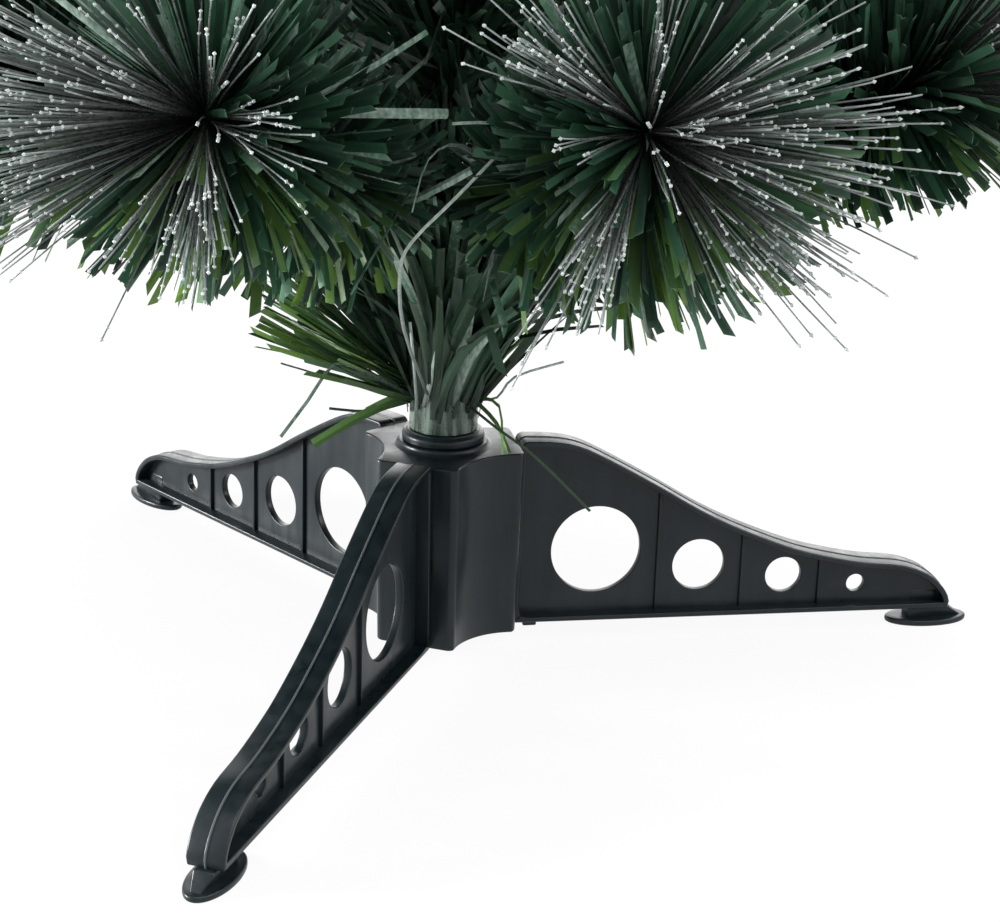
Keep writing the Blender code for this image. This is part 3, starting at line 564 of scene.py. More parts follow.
def stand_plastic():
    """Satin black moulded plastic with a blue-grey bloom, upright flow marks, and a seam painted pale as a
    painted highlight.
    """
    finish = Finish(bpy.data.materials.new("stand_plastic"))
    bloom = stretched(finish.noise(38, 3.0), 0.35, 0.7)
    flow = stretched(finish.noise(1, 3.0, (240, 240, 26)), 0.38, 0.68)
    grain = finish.noise(1500, 1.0)
    scuff = stretched(finish.noise(95, 5.0, rough=0.7), 0.6, 0.74)
    colour = finish.mixed(bloom * 0.6 + flow * 0.4, (0.0045, 0.0085, 0.0105), (0.0125, 0.018, 0.0215))
    scuffed = finish.mixed(scuff * 0.3, colour, (0.035, 0.042, 0.046))
    finish.shade(
        # Painted highlight: the seam band is painted pale
        Base_Color=finish.mixed(finish.mark("seam"), scuffed, (0.075, 0.085, 0.09)),
        Roughness=0.26 + bloom * 0.07 + flow * 0.1 + scuff * 0.08,
        Specular_IOR_Level=0.26,
        Normal=finish.bumped(grain * 0.5 + flow * 0.7, 0.25, 0.06 * MM),
    )
    return finish.owner


# The needles' greens by their tone, up to a painted pale sheen on the lightest
NEEDLE_GREENS = (
    (0.0, (0.004, 0.0095, 0.0075)), (0.4, (0.013, 0.043, 0.025)), (0.72, (0.031, 0.098, 0.054)),
    (0.86, (0.07, 0.155, 0.1)), (1.0, (0.5, 0.56, 0.53)),
)


def needle_film():
    """Green film: painted shade towards the root, painted highlights on the edges and cut ends, and a
    painted glow where light comes through.
    """
    finish = Finish(bpy.data.materials.new("needle_film"))
    tone = finish.mark("tone")
    along = finish.mark("along")
    edge = finish.mark("edge")
    warm = finish.mark("warm")
    streak = stretched(finish.noise(1, 2.0, (900, 900, 260)), 0.35, 0.7)
    shade = (tone * 0.93 + streak * 0.07).clamped()
    green = finish.node("ShaderNodeValToRGB", {"stops": NEEDLE_GREENS}, {"Fac": shade})
    # Painted light: a yellow-green glow where light comes through the film, mostly on needles that hang
    # down
    lit = finish.mixed(warm, green, (0.12, 0.23, 0.03))
    # Painted highlight: the edges and the cut end are painted paler
    cut = stretched(along, 0.96, 1.0)
    edged = finish.mixed((edge * 0.14 + cut * 0.2).clamped(), lit, (0.060, 0.13, 0.075))
    # Painted shade: darker towards the root, where the brush shades its own needles
    rooted = finish.mixed((1 - along) ** 1.8 * 0.85, edged, (0.0055, 0.011, 0.0085))
    finish.shade(
        Base_Color=rooted,
        Roughness=0.32 + streak * 0.14,
        Specular_IOR_Level=0.3,
        Normal=finish.bumped(streak, 0.2, 0.05 * MM),
    )
    return finish.owner


def clear_fibre():
    """Clear fibre: painted shade where it leaves the wire, painted light and a faint painted glow towards
    its end, mottled by frost, with white beads.
    """
    finish = Finish(bpy.data.materials.new("clear_fibre"))
    along = finish.mark("along")
    tone = finish.mark("tone")
    bead = finish.mark("bead")
    frost = stretched(finish.noise(420, 2.0), 0.35, 0.7)
    # Painted light: dark near the wire, where the brush shades the fibre, and pale towards the end, where
    # light comes through it
    pale = (along ** 1.7 * (0.22 + tone * 0.42 + frost * 0.32)).clamped()
    body = finish.mixed(pale, (0.026, 0.029, 0.029), (0.33, 0.385, 0.37))
    white = finish.mixed(bead * (0.25 + tone * 0.65), body, (0.54, 0.59, 0.58))
    finish.shade(
        Base_Color=white,
        Roughness=0.25 + frost * 0.15,
        # Painted glow: the pale part gives off a faint light of its own
        Emission_Color=finish.mixed(pale, (0.0, 0.0, 0.0), (1.0, 1.0, 1.0)),
        Emission_Strength=0.035,
    )
    return finish.owner


def sleeve_plastic():
    """Cloudy grey-green tube with upright streaks, clearer in places."""
    finish = Finish(bpy.data.materials.new("sleeve_plastic"))
    streak = stretched(finish.noise(1, 3.0, (520, 520, 60)), 0.36, 0.66)
    cloud = stretched(finish.noise(120, 3.0), 0.4, 0.65)
    finish.shade(
        Base_Color=finish.mixed(streak * 0.7 + cloud * 0.3, (0.018, 0.036, 0.026), (0.16, 0.21, 0.175)),
        Roughness=0.22 + cloud * 0.2,
        Alpha=0.62 + streak * 0.3,
        Normal=finish.bumped(streak, 0.3, 0.15 * MM),
    )
    return finish.owner


def coated_wire():
    """Dark green lacquered wire, worn a little to bare metal."""
    finish = Finish(bpy.data.materials.new("coated_wire"))
    worn = stretched(finish.noise(500, 4.0, rough=0.7), 0.62, 0.72)
    finish.shade(
        Base_Color=finish.mixed(worn, (0.009, 0.03, 0.016), (0.16, 0.17, 0.165)),
        Roughness=0.38 + worn * 0.12,
        Metallic=worn * 0.8,
    )
    return finish.owner


def linked(name, data):
    """A new object in the scene."""
    item = bpy.data.objects.new(name, data)
    bpy.context.scene.collection.objects.link(item)
    return item


def marked(names):
    """A bmesh whose points carry these marks."""
    bm = bmesh.new()
    for name in names:
        bm.verts.layers.float.new(name)
    return bm


def set_marks(bm, verts, **marks):
    for name, value in marks.items():
        layer = bm.verts.layers.float[name]
        for vert in verts:
            vert[layer] = value


def mesh_of(name, bm, welded=True):
    """The bmesh as a mesh, with its doubles merged and its faces turned outwards."""
    if welded:
        bmesh.ops.remove_doubles(bm, verts=bm.verts, dist=WELD)
        bmesh.ops.recalc_face_normals(bm, faces=bm.faces)
    mesh = bpy.data.meshes.new(name)
    bm.to_mesh(mesh)
    bm.free()
    return mesh


def add(bm, part, matrix=None):
    """Adds a part, a bmesh that ends here, to the bmesh of its piece."""
    mesh = mesh_of("part", part)
    if matrix:
        mesh.transform(matrix)
    bm.from_mesh(mesh)
    bpy.data.meshes.remove(mesh)


def piece(name, mesh, slot, body, node, sharp=40):
    """A finished piece on its body, in place of the CAD node."""
    mesh.name = name
    mesh.shade_smooth()
    if sharp:
        mesh.set_sharp_from_angle(angle=math.radians(sharp))
    mesh.materials.clear()
    mesh.materials.append(FINISHES[slot])
    item = linked(name, mesh)
    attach(item, body)
    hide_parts(node)
    return item


def needle_piece(name, bm, body, node):
    """A piece of sown needles, with the single strips that stray from it."""
    for stray in STRAYS.get(node, ()):
        stray_strip(bm, *stray)
    return piece(name, mesh_of(name, bm, welded=False), "needle_film", body, node, sharp=30)


def fibre_piece(name, bm, body, node):
    return piece(name, mesh_of(name, bm, welded=False), "clear_fibre", body, node, sharp=0)


def rounded_off(bm, geom, rounding, segments=3, affect="EDGES"):
    """Rounds edges, or with VERTICES the corners of a flat outline."""
    bmesh.ops.bevel(
        bm, geom=geom, offset=rounding, segments=segments, profile=0.5, affect=affect, material=-1,
    )


def drawn_out(bm, faces, shift, keep=True):
    """Draws faces out by a shift. Gives the points and the first face of the drawn end."""
    drawn = bmesh.ops.extrude_face_region(bm, geom=faces, use_keep_orig=keep)["geom"]
    verts = [part for part in drawn if isinstance(part, bmesh.types.BMVert)]
    bmesh.ops.translate(bm, vec=shift, verts=verts)
    return verts, next(part for part in drawn if isinstance(part, bmesh.types.BMFace))


def block(centre, size, rounding=0.0):
    """A box with rounded edges."""
    bm = bmesh.new()
    bmesh.ops.create_cube(bm, size=1)
    bmesh.ops.scale(bm, vec=size, verts=bm.verts)
    bmesh.ops.translate(bm, vec=centre, verts=bm.verts)
    if rounding:
        rounded_off(bm, bm.edges[:], rounding)
    return bm


def turned(profile, rounded=(), rounding=0.0, steps=TURNED_STEPS):
    """A profile of (radius, height) points, some of its corners rounded, spun round Z."""
    bm = bmesh.new()
    verts = [bm.verts.new((radius, 0, height)) for radius, height in profile]
    for first, second in zip(verts, verts[1:]):
        bm.edges.new((first, second))
    if rounded:
        rounded_off(bm, [verts[number] for number in rounded], rounding, 4, "VERTICES")
    bmesh.ops.spin(
        bm, geom=bm.verts[:] + bm.edges[:], cent=(0, 0, 0), axis=(0, 0, 1), angle=FULL_TURN, steps=steps,
        use_merge=True,
    )
    return bm


def section(sides, radius, axis="Y", marks=(), filled=False):
    """A polygon stood up about an axis: about Y it lies across X, about X across Y."""
    bm = marked(marks)
    bmesh.ops.create_circle(bm, cap_ends=filled, segments=sides, radius=radius)
    bmesh.ops.rotate(bm, verts=bm.verts, matrix=Matrix.Rotation(QUARTER_TURN, 3, axis))
    return bm


def wire_ring(height):
    """A tier's closed wire ring round Z."""
    bm = section(10, RING_WIRE_RADIUS, "X")
    bmesh.ops.translate(bm, verts=bm.verts, vec=(RING_RADIUS, 0, height))
    bmesh.ops.spin(
        bm, geom=bm.edges[:], cent=(0, 0, height), axis=(0, 0, 1), angle=FULL_TURN, steps=RING_STEPS,
        use_merge=True,
    )
    return bm


def about_z(degrees):
    return Matrix.Rotation(math.radians(degrees), 4, "Z")


def smooth_line(points, steps):
    """Points of a curve that passes through the given ones."""
    padded = [points[0], *points, points[-1]]
    found = []
    for before, start, end, after in zip(padded, padded[1:], padded[2:], padded[3:]):
        for step in range(steps):
            t = step / steps
            lean_in = (end - before) / 2
            lean_out = (after - start) / 2
            found.append(
                start * (2 * t ** 3 - 3 * t ** 2 + 1) + lean_in * (t ** 3 - 2 * t ** 2 + t)
                + end * (3 * t ** 2 - 2 * t ** 3) + lean_out * (t ** 3 - t ** 2)
            )
    return [*found, points[-1]]


def leg_height(share):
    return LEG_UNDERSIDE_AT_HUB + share * (LEG_TOP - LEG_UNDERSIDE_AT_HUB)


def leg_top_line():
    span = LEG_TIP_RADIUS - LEG_INNER_RADIUS
    points = [Vector((LEG_INNER_RADIUS + along * span, leg_height(up))) for along, up in LEG_TOP_SHARES]
    centre = Vector((LEG_END_AT_TOP + LEG_CORNER, LEG_TOP - LEG_CORNER))
    angles = [math.pi * (1 - step / LEG_CORNER_STEPS / 2) for step in range(LEG_CORNER_STEPS + 1)]
    corner = [centre + LEG_CORNER * Vector((math.cos(angle), math.sin(angle))) for angle in angles]
    line = smooth_line(points[:-1], LEG_CURVE_STEPS)
    return [*corner, *(point for point in line if point.x > centre.x + LEG_CORNER / 2), points[-1]]


def leg_face(bm):
    """The leg's side outline as one face in the XZ plane, its corners rounded."""
    line = leg_top_line()
    tip = Vector((line[-1].x - LEG_TOE_UNDERCUT, LEG_UNDERSIDE_AT_TIP))
    ends = (tip, Vector((LEG_END_AT_BOTTOM, LEG_UNDERSIDE_AT_HUB)))
    verts = [bm.verts.new((point.x, 0, point.y)) for point in (*line, *ends)]
    bm.faces.new(verts)
    rounded_off(bm, [verts[-1]], LEG_CORNER / 2, 4, "VERTICES")
    return bm.faces[:][0]


def rim_faces(bm, face, distance):
    """The rim that is left when the face's outline moves inwards by this distance."""
    return bmesh.ops.inset_region(
        bm, faces=[face], thickness=distance, use_even_offset=True, use_boundary=True
    )["faces"]


def thickened(bm, width):
    """Every face drawn out along Y to this width, half of it on each side."""
    bmesh.ops.translate(bm, vec=(0, -width / 2, 0), verts=bm.verts)
    drawn_out(bm, bm.faces[:], (0, width, 0))
    bmesh.ops.recalc_face_normals(bm, faces=bm.faces)


def rim_edges(bm, chosen=None):
    """Edges that lie in a side face of the leg and turn by more than 60 degrees."""
    return [
        edge for edge in bm.edges
        if len(edge.link_faces) == 2 and edge.calc_face_angle(0) > FULL_TURN / 6
        and abs(edge.verts[0].co.y - edge.verts[1].co.y) < WELD and (chosen is None or chosen(edge))
    ]


def band(thick, width, grown, rounding):
    """A band that follows the leg's outline, which may first be grown outwards."""
    bm = bmesh.new()
    face = leg_face(bm)
    if grown:
        bmesh.ops.delete(bm, geom=rim_faces(bm, face, -grown), context="FACES")
    rim_faces(bm, face, thick)
    bmesh.ops.delete(bm, geom=[face], context="FACES")
    thickened(bm, width)
    rounded_off(bm, rim_edges(bm), rounding)
    return bm


def web():
    """The thin wall inside the flange, with its round lightening holes."""
    bm = bmesh.new()
    face = leg_face(bm)
    bmesh.ops.delete(bm, geom=rim_faces(bm, face, FLANGE_THICK / 2), context="FACES")
    bmesh.ops.delete(bm, geom=[face], context="FACES_ONLY")
    for reach, height, radius, sides in HOLES:
        place = Matrix.Translation((reach * MM, 0, height * MM)) @ Matrix.Rotation(QUARTER_TURN, 4, "X")
        bmesh.ops.create_circle(bm, segments=sides, radius=radius * MM, matrix=place)
    bmesh.ops.triangle_fill(bm, use_beauty=True, use_dissolve=False, edges=bm.edges[:])
    thickened(bm, WEB_THICK)

    def on_hole(edge):
        middle = (edge.verts[0].co + edge.verts[1].co) / 2
        return any(
            abs(math.hypot(middle.x - reach * MM, middle.z - height * MM) - radius * MM) < HOLE_MARGIN
            for reach, height, radius, _ in HOLES
        )

    rounded_off(bm, rim_edges(bm, on_hole), HOLE_RIM)
    return bm


def underside_at(radius):
    share = (radius - LEG_INNER_RADIUS) / (LEG_TIP_RADIUS - LEG_INNER_RADIUS)
    return LEG_UNDERSIDE_AT_HUB + share * (LEG_UNDERSIDE_AT_TIP - LEG_UNDERSIDE_AT_HUB)


def top_at(radius):
    line = leg_top_line()
    for start, end in zip(line, line[1:]):
        if start.x <= radius <= end.x:
            return start.y + (end.y - start.y) * (radius - start.x) / (end.x - start.x)
    return line[-1].y


def leg_mesh():
    """Web, flange and its raised seam, ribs, lug, tip block, and the rail in the hub."""
    bm = marked(("seam",))
    add(bm, web())
    add(bm, band(FLANGE_THICK, FLANGE_WIDTH, 0, FLANGE_ROUNDING))
    # The seam band carries the seam mark, where the plastic paints a highlight
    seam = band(FLANGE_THICK / 2, SEAM_WIDTH, SEAM_PROUD, SEAM_ROUNDING)
    seam.verts.layers.float.new("seam")
    set_marks(seam, seam.verts, seam=1.0)
    add(bm, seam)
    for place in RIB_PLACES:
        low = underside_at(place) + FLANGE_THICK / 2
        high = top_at(place) - FLANGE_THICK / 2
        size = Vector((RIB_THICK, WEB_THICK + 2 * RIB_PROUD, high - low))
        add(bm, block((place, 0, (low + high) / 2), size, RIB_ROUNDING))
    lug_middle = underside_at(LUG_PLACE) - LUG_DROP + LUG_SIZE.z / 2
    tip_middle = underside_at(PAD_PLACE) + FLANGE_THICK / 2 + TIP_BLOCK_SIZE.z / 2
    rail_middle = (RAIL_LOW + RAIL_HIGH) / 2
    rail_height = RAIL_HIGH - RAIL_LOW
    neck_end = LEG_END_AT_TOP + FLANGE_THICK / 2
    neck_size = (neck_end - RAIL_MIDDLE, WEB_THICK, rail_height)
    for reach, height, size, rounding in (
        (LUG_PLACE, lug_middle, LUG_SIZE, LUG_ROUNDING),
        (PAD_PLACE - TIP_BLOCK_INSET, tip_middle, TIP_BLOCK_SIZE, TIP_BLOCK_ROUNDING),
        ((RAIL_MIDDLE + neck_end) / 2, rail_middle, neck_size, RAIL_NECK_ROUNDING),
        (RAIL_MIDDLE, rail_middle, (RAIL_THICK, RAIL_WIDTH, rail_height), RAIL_ROUNDING),
    ):
        add(bm, block((reach, 0, height), size, rounding))
    return mesh_of("leg", bm, welded=False)


def pad_mesh():
    """An oval pad with a rounded rim, its neck and the peg that goes up into the leg."""
    bm = bmesh.new()
    radius = PAD_LENGTH / 2
    hollow, rim = (radius * share for share in PAD_HOLLOW_SHARES)
    plate = turned(
        ((0, PAD_HOLLOW), (hollow, PAD_HOLLOW), (rim, 0), (radius, 0), (radius, PAD_THICK),
         (radius * PAD_FLAT_SHARE, PAD_THICK), (0, PAD_THICK)),
        (3, 4), PAD_ROUNDING, PAD_STEPS,
    )
    add(bm, plate, Matrix.Diagonal((1, PAD_WIDTH / PAD_LENGTH, 1, 1)))
    neck = block((0, 0, PAD_THICK / 2 + NECK_SIZE.z / 2), NECK_SIZE, NECK_ROUNDING)
    toe = [vert for vert in neck.verts if vert.co.x > 0 and vert.co.z < PAD_THICK + NECK_SIZE.z / 4]
    bmesh.ops.translate(neck, vec=(NECK_TOE, 0, 0), verts=toe)
    bmesh.ops.scale(neck, vec=(1, NECK_TOE_WIDTH_SHARE, 1), verts=toe)
    add(bm, neck)
    peg = ((0, PAD_THICK), (PEG_RADIUS, PAD_THICK), (PEG_RADIUS, PEG_TOP), (0, PEG_TOP))
    add(bm, turned(peg, (2,), PEG_ROUNDING, SLIM_STEPS))
    return mesh_of("pad", bm, welded=False)


def hub_outline():
    """Three flat stub ends with round corners, and a shallow hollow between each two."""
    points = []
    third = FULL_TURN / 3
    for stub in range(3):
        turn = Matrix.Rotation(stub * third, 2)
        centre = Vector((STUB_REACH - STUB_CORNER, STUB_HALF_WIDTH - STUB_CORNER))
        corner = [
            centre + STUB_CORNER * Vector((math.cos(angle), math.sin(angle)))
            for angle in (third / 2 * step / CORNER_STEPS for step in range(CORNER_STEPS + 1))
        ]
        low = [Vector((point.x, -point.y)) for point in reversed(corner)]
        points += [turn @ point for point in low + corner]
        start = corner[-1]
        end = Matrix.Rotation(third, 2) @ low[0]
        half = (end - start).length / 2
        middle = (start + end) / 2
        depth = middle.length - WAIST_RADIUS
        radius = (half * half + depth * depth) / (2 * depth)
        centre = middle.normalized() * (WAIST_RADIUS + radius)
        sweep = 2 * math.asin(half / radius)
        for step in range(1, WAIST_STEPS):
            swing = Matrix.Rotation(-sweep * step / WAIST_STEPS, 2)
            points.append(turn @ (centre + swing @ (start - centre)))
    return points


def cut_out(mesh, cutters):
    """The mesh without the space of the cutters."""
    body = linked("cut_body", mesh)
    helpers = []
    for number, cutter in enumerate(cutters):
        helper = linked(f"cutter_{number}", cutter)
        cut = body.modifiers.new(f"cut_{number}", "BOOLEAN")
        cut.operation = "DIFFERENCE"
        cut.solver = "EXACT"
        cut.object = helper
        helpers.append(helper)
    bpy.context.view_layer.update()
    result = bpy.data.meshes.new_from_object(body.evaluated_get(bpy.context.evaluated_depsgraph_get()))
    for item in (body, *helpers):
        bpy.data.objects.remove(item, do_unlink=True)
    return result


def hub_body():
    """The outline drawn up and a little wider towards the top, its rims rounded."""
    bm = bmesh.new()
    ring = [bm.verts.new((point.x, point.y, HUB_BOTTOM)) for point in hub_outline()]
    base = bm.faces.new(ring)
    bmesh.ops.scale(bm, vec=(HUB_BOTTOM_SHARE, HUB_BOTTOM_SHARE, 1), verts=ring)
    top, _ = drawn_out(bm, [base], (0, 0, HUB_TOP - HUB_BOTTOM))
    bmesh.ops.scale(bm, vec=(1 / HUB_BOTTOM_SHARE, 1 / HUB_BOTTOM_SHARE, 1), verts=top)
    bmesh.ops.recalc_face_normals(bm, faces=bm.faces)
    rims = [edge for edge in bm.edges if abs(edge.verts[0].co.z - edge.verts[1].co.z) < WELD]
    rounded_off(bm, rims, HUB_ROUNDING)
    return mesh_of("hub_body", bm)


def hub_cutters():
    """The socket, the hollow below its floor, and each leg's slot with the slot's mouth."""
    shafts = ((SOCKET_FLOOR, LEG_TOP + OVERRUN), (0, SOCKET_FLOOR - SOCKET_FLOOR_THICK))
    cutters = [
        mesh_of("shaft", turned(((0, low), (SOCKET_RADIUS, low), (SOCKET_RADIUS, high), (0, high))))
        for low, high in shafts
    ]
    high = RAIL_HIGH + RUNNING_GAP
    mouth_end = STUB_REACH + OVERRUN
    rooms = (
        (RAIL_MIDDLE, RAIL_THICK + 2 * RUNNING_GAP, RAIL_WIDTH),
        ((RAIL_MIDDLE + mouth_end) / 2, mouth_end - RAIL_MIDDLE, WEB_THICK),
    )
    for azimuth in (0, 120, 240):
        for reach, long, wide in rooms:
            mesh = mesh_of("slot", block((reach, 0, high / 2), (long, wide + 2 * RUNNING_GAP, high)))
            mesh.transform(about_z(azimuth))
            cutters.append(mesh)
    return cutters


def hub_mesh():
    """The hub's body with its socket and slots, and the flared collar on it."""
    hub = bmesh.new()
    hub.from_mesh(cut_out(hub_body(), hub_cutters()))
    foot = Vector((FLARE_FOOT_RADIUS, HUB_TOP - FLARE_SUNK))
    lip = Vector((FLARE_RADIUS, FLARE_TOP))
    angles = [step * QUARTER_TURN / FLARE_STEPS for step in range(FLARE_STEPS + 1)]
    trumpet = [
        (foot.x + (lip.x - foot.x) * math.sin(angle), foot.y + (lip.y - foot.y) * (1 - math.cos(angle)))
        for angle in angles
    ]
    low = HUB_TOP - OVERRUN / 2
    flare = [
        (SOCKET_RADIUS, low), (FLARE_FOOT_RADIUS, low), *trumpet, (SOCKET_RADIUS, FLARE_TOP),
        (SOCKET_RADIUS, low),
    ]
    add(hub, turned(flare, (len(flare) - 3, len(flare) - 2), FLARE_ROUNDING))
    return mesh_of("hub", hub, welded=False)


def build_stand():
    hub = hub_mesh()
    hub.transform(about_z(LEG_AZIMUTHS["right"]))
    piece("hub_shell", hub, "stand_plastic", "stand", "stand_hub")
    mouldings = (("leg_moulding", leg_mesh(), 0, "leg"), ("foot_pad", pad_mesh(), PAD_PLACE, "foot_pad"))
    for side, azimuth in LEG_AZIMUTHS.items():
        for name, mesh, reach, node in mouldings:
            copy = mesh.copy()
            copy.transform(about_z(azimuth) @ Matrix.Translation((reach, 0, 0)))
            piece(f"{name}_{side}_look", copy, "stand_plastic", f"leg_{side}", f"{node}_{side}")


def build_trunk():
    bore = POLE_RADIUS + RUNNING_GAP
    plug = turned(
        (
            (0, PLUG_BORE_FLOOR), (bore, PLUG_BORE_FLOOR), (bore, SPIGOT_TOP), (SPIGOT_RADIUS, SPIGOT_TOP),
            (SPIGOT_RADIUS, SHOULDER_HIGH), (SLEEVE_RADIUS + RIM_TOP_WIDTH, SHOULDER_HIGH),
            (SLEEVE_RADIUS + RIM_FOOT_WIDTH, SHOULDER_HIGH - RIM_HEIGHT),
            (SHOULDER_RADIUS - LEDGE_INSET, SHOULDER_HIGH - LEDGE_DROP),
            (SHOULDER_RADIUS, SHOULDER_HIGH - SIDE_DROP), (SHOULDER_RADIUS, SHOULDER_LOW),
            (STUB_RADIUS, SHOULDER_LOW), (STUB_RADIUS, PLUG_BOTTOM), (0, PLUG_BOTTOM),
        ),
        (3, 6, 8, 9, 11), PLUG_ROUNDING,
    )
    piece("plug_turning", mesh_of("plug", plug), "stand_plastic", "plug", "trunk_plug")
    inner = SLEEVE_RADIUS - SLEEVE_WALL
    sleeve = turned(
        (
            (inner, SLEEVE_LOW), (inner, SLEEVE_HIGH), (SLEEVE_RADIUS, SLEEVE_HIGH),
            (SLEEVE_RADIUS, SLEEVE_LOW), (inner, SLEEVE_LOW),
        ),
        (1, 2, 3), SLEEVE_ROUNDING,
    )
    piece("sleeve_tube", mesh_of("sleeve", sleeve), "sleeve_plastic", "trunk", "trunk_sleeve")
    build_bundle()
    build_pole()


def build_bundle():
    """Upright rods of clear plastic, packed in rows round the pole."""
    chance = random.Random("bundle")
    bm = bmesh.new()
    for radius, count in BUNDLE_ROWS:
        for number in range(count):
            rod = bmesh.new()
            bmesh.ops.create_cone(
                rod, cap_ends=True, segments=6, radius1=ROD_RADIUS, radius2=ROD_RADIUS * ROD_TAPER,
                depth=BUNDLE_HIGH - BUNDLE_LOW - chance.uniform(0, ROD_UNEVEN),
            )
            lowest = min(vert.co.z for vert in rod.verts)
            reach = radius + chance.uniform(-ROD_SHIFT, ROD_SHIFT)
            spot = Matrix.Translation((reach, 0, BUNDLE_LOW - lowest))
            add(bm, rod, about_z(360 * (number + chance.uniform(-ROD_TURN, ROD_TURN)) / count) @ spot)
    piece("bundle_rods", mesh_of("bundle", bm, welded=False), "clear_fibre", "trunk", "fibre_bundle")


def build_pole():
    """The pole, with a boss, a wire ring and its spokes at the height of each tier's joints."""
    bm = bmesh.new()
    add(bm, turned(
        ((0, POLE_TOP), (SPIKE_RADIUS, POLE_TOP), (SPIKE_RADIUS, POLE_SHOULDER + SPIKE_TAPER),
         (POLE_RADIUS, POLE_SHOULDER), (POLE_RADIUS, POLE_LOW), (0, POLE_LOW)),
        (1, 4), POLE_ROUNDING, SLIM_STEPS,
    ))
    places = {joint["name"]: joint.get("pos_m") for joint in frame["joints"]}
    sunk = POLE_RADIUS - BOSS_SUNK
    for tier, (count, *_) in enumerate(TIERS, 1):
        x, y, height = places[f"branch_{tier}_1_fold"]
        azimuth = math.degrees(math.atan2(y, x))
        low = height - BOSS_HEIGHT / 2
        high = height + BOSS_HEIGHT / 2
        boss = ((sunk, low), (BOSS_RADIUS, low), (BOSS_RADIUS, high), (sunk, high))
        add(bm, turned(boss, (1, 2), BOSS_ROUNDING, BOSS_STEPS))
        add(bm, wire_ring(height))
        for number in range(count):
            spoke = block(((POLE_RADIUS + RING_RADIUS) / 2, 0, height), SPOKE_SIZE, SPOKE_ROUNDING)
            add(bm, spoke, about_z(azimuth + (number + 0.5) * 360 / count))
    piece("pole_turning", mesh_of("pole", bm, welded=False), "coated_wire", "trunk", "trunk_pole")


def strip_templates(shapes):
    """Film strips of unit length and width along X, their fold upwards."""
    templates = []
    for bow, slant, twist in shapes:
        bm = section(3, 1, marks=NEEDLE_MARKS, filled=True)
        bmesh.ops.rotate(bm, verts=bm.verts, matrix=Matrix.Rotation(QUARTER_TURN, 3, "X"))
        base = min(vert.co.z for vert in bm.verts)
        bmesh.ops.translate(bm, vec=(0, 0, -base), verts=bm.verts)
        broad = max(vert.co.y for vert in bm.verts) * 2
        high = max(vert.co.z for vert in bm.verts)
        bmesh.ops.scale(bm, vec=(1, 1 / broad, STRIP_FOLD_SHARE / high), verts=bm.verts)
        face = bm.faces[:][0]
        reached = 0
        for stop in STRIP_STOPS:
            _, face = drawn_out(bm, [face], (stop - reached, 0, 0), keep=reached == 0)
            reached = stop
        along = bm.verts.layers.float["along"]
        edge = bm.verts.layers.float["edge"]
        for vert in bm.verts:
            reach = vert.co.x
            vert[along] = reach
            side = vert.co.y
            turn = math.radians(twist) * reach
            vert[edge] = 1.0 if abs(side) > STRIP_EDGE_FROM else 0.0
            vert.co.x += slant * side * 2 if reach > STRIP_SLANT_FROM else 0
            width = STRIP_ROOT + (1 - STRIP_ROOT) * min(1.0, reach * STRIP_WIDENING)
            vert.co.y = side * math.cos(turn) * width
            vert.co.z += side * math.sin(turn) * STRIP_WIDTH_SHARE + bow * reach * reach
        templates.append(mesh_of("strip", bm))
    return templates


def fibre_templates():
    """Three-sided fibres along X with small beads near their ends."""
    templates = []
    for length, bow, beads in FIBRE_SHAPES:
        bm = section(3, FIBRE_RADIUS, marks=FIBRE_MARKS, filled=True)
        face = bm.faces[:][0]
        for joint in range(FIBRE_JOINTS):
            _, face = drawn_out(bm, [face], (length / FIBRE_JOINTS, 0, 0), keep=joint == 0)
        bmesh.ops.recalc_face_normals(bm, faces=bm.faces)
        # Beads stand further apart towards the root
        for number in range(beads):
            place = length - BEAD_SPACING * (number * (1 + 0.6 * number) + 0.1)
            spot = Matrix.Translation((place, 0, 0)) @ Matrix.Diagonal((BEAD_STRETCH, 1, 1, 1))
            bead = bmesh.ops.create_uvsphere(
                bm, u_segments=4, v_segments=2, radius=BEAD_RADIUS, matrix=spot
            )["verts"]
            set_marks(bm, bead, bead=1.0)
        along = bm.verts.layers.float["along"]
        for vert in bm.verts:
            reach = vert.co.x / length
            vert[along] = min(reach, 1.0)
            vert.co.z += bow * length * reach * reach
        templates.append(mesh_of("fibre", bm, welded=False))
    return templates


def sow(bm, template, matrix, **marks):
    """Adds a copy of a template, placed by the matrix and with its own marks."""
    copy = template.copy()
    copy.transform(matrix)
    for name, value in marks.items():
        copy.attributes[name].data.foreach_set("value", [value] * len(copy.vertices))
    bm.from_mesh(copy)
    bpy.data.meshes.remove(copy)


def sow_strip(bm, template, matrix, long, broad, tone, warm):
    """A strip of this length and width, which bows and folds as much as its length asks."""
    sow(bm, template, matrix @ Matrix.Diagonal((long, broad, long, 1)), tone=tone, warm=warm)


def between(start, end, share):
    return start + (end - start) * share


def leaning(place, roll, lean, spin=0.0):
    """A frame at a point on the X axis, with its own X turned off the axis by lean."""
    return (
        Matrix.Translation((place, 0, 0)) @ Matrix.Rotation(roll, 4, "X")
        @ Matrix.Rotation(-lean, 4, "Y") @ Matrix.Rotation(spin, 4, "X")
    )


def within_reach(matrix, length):
    """The length cut back so that the end stays inside the tree's reach."""
    for _ in range(30):
        end = matrix @ Vector((length, 0, 0))
        if math.hypot(end.x, end.y) < REACH and end.z < TREE_TOP:
            break
        length *= 0.95
    return length


def film_tone(tones, chance):
    """Mostly dark, now and then pale with a painted sheen."""
    pale, palest_from, palest_to, lightest, power = tones
    if chance.random() < pale:
        return chance.uniform(palest_from, palest_to)
    return lightest * chance.random() ** power


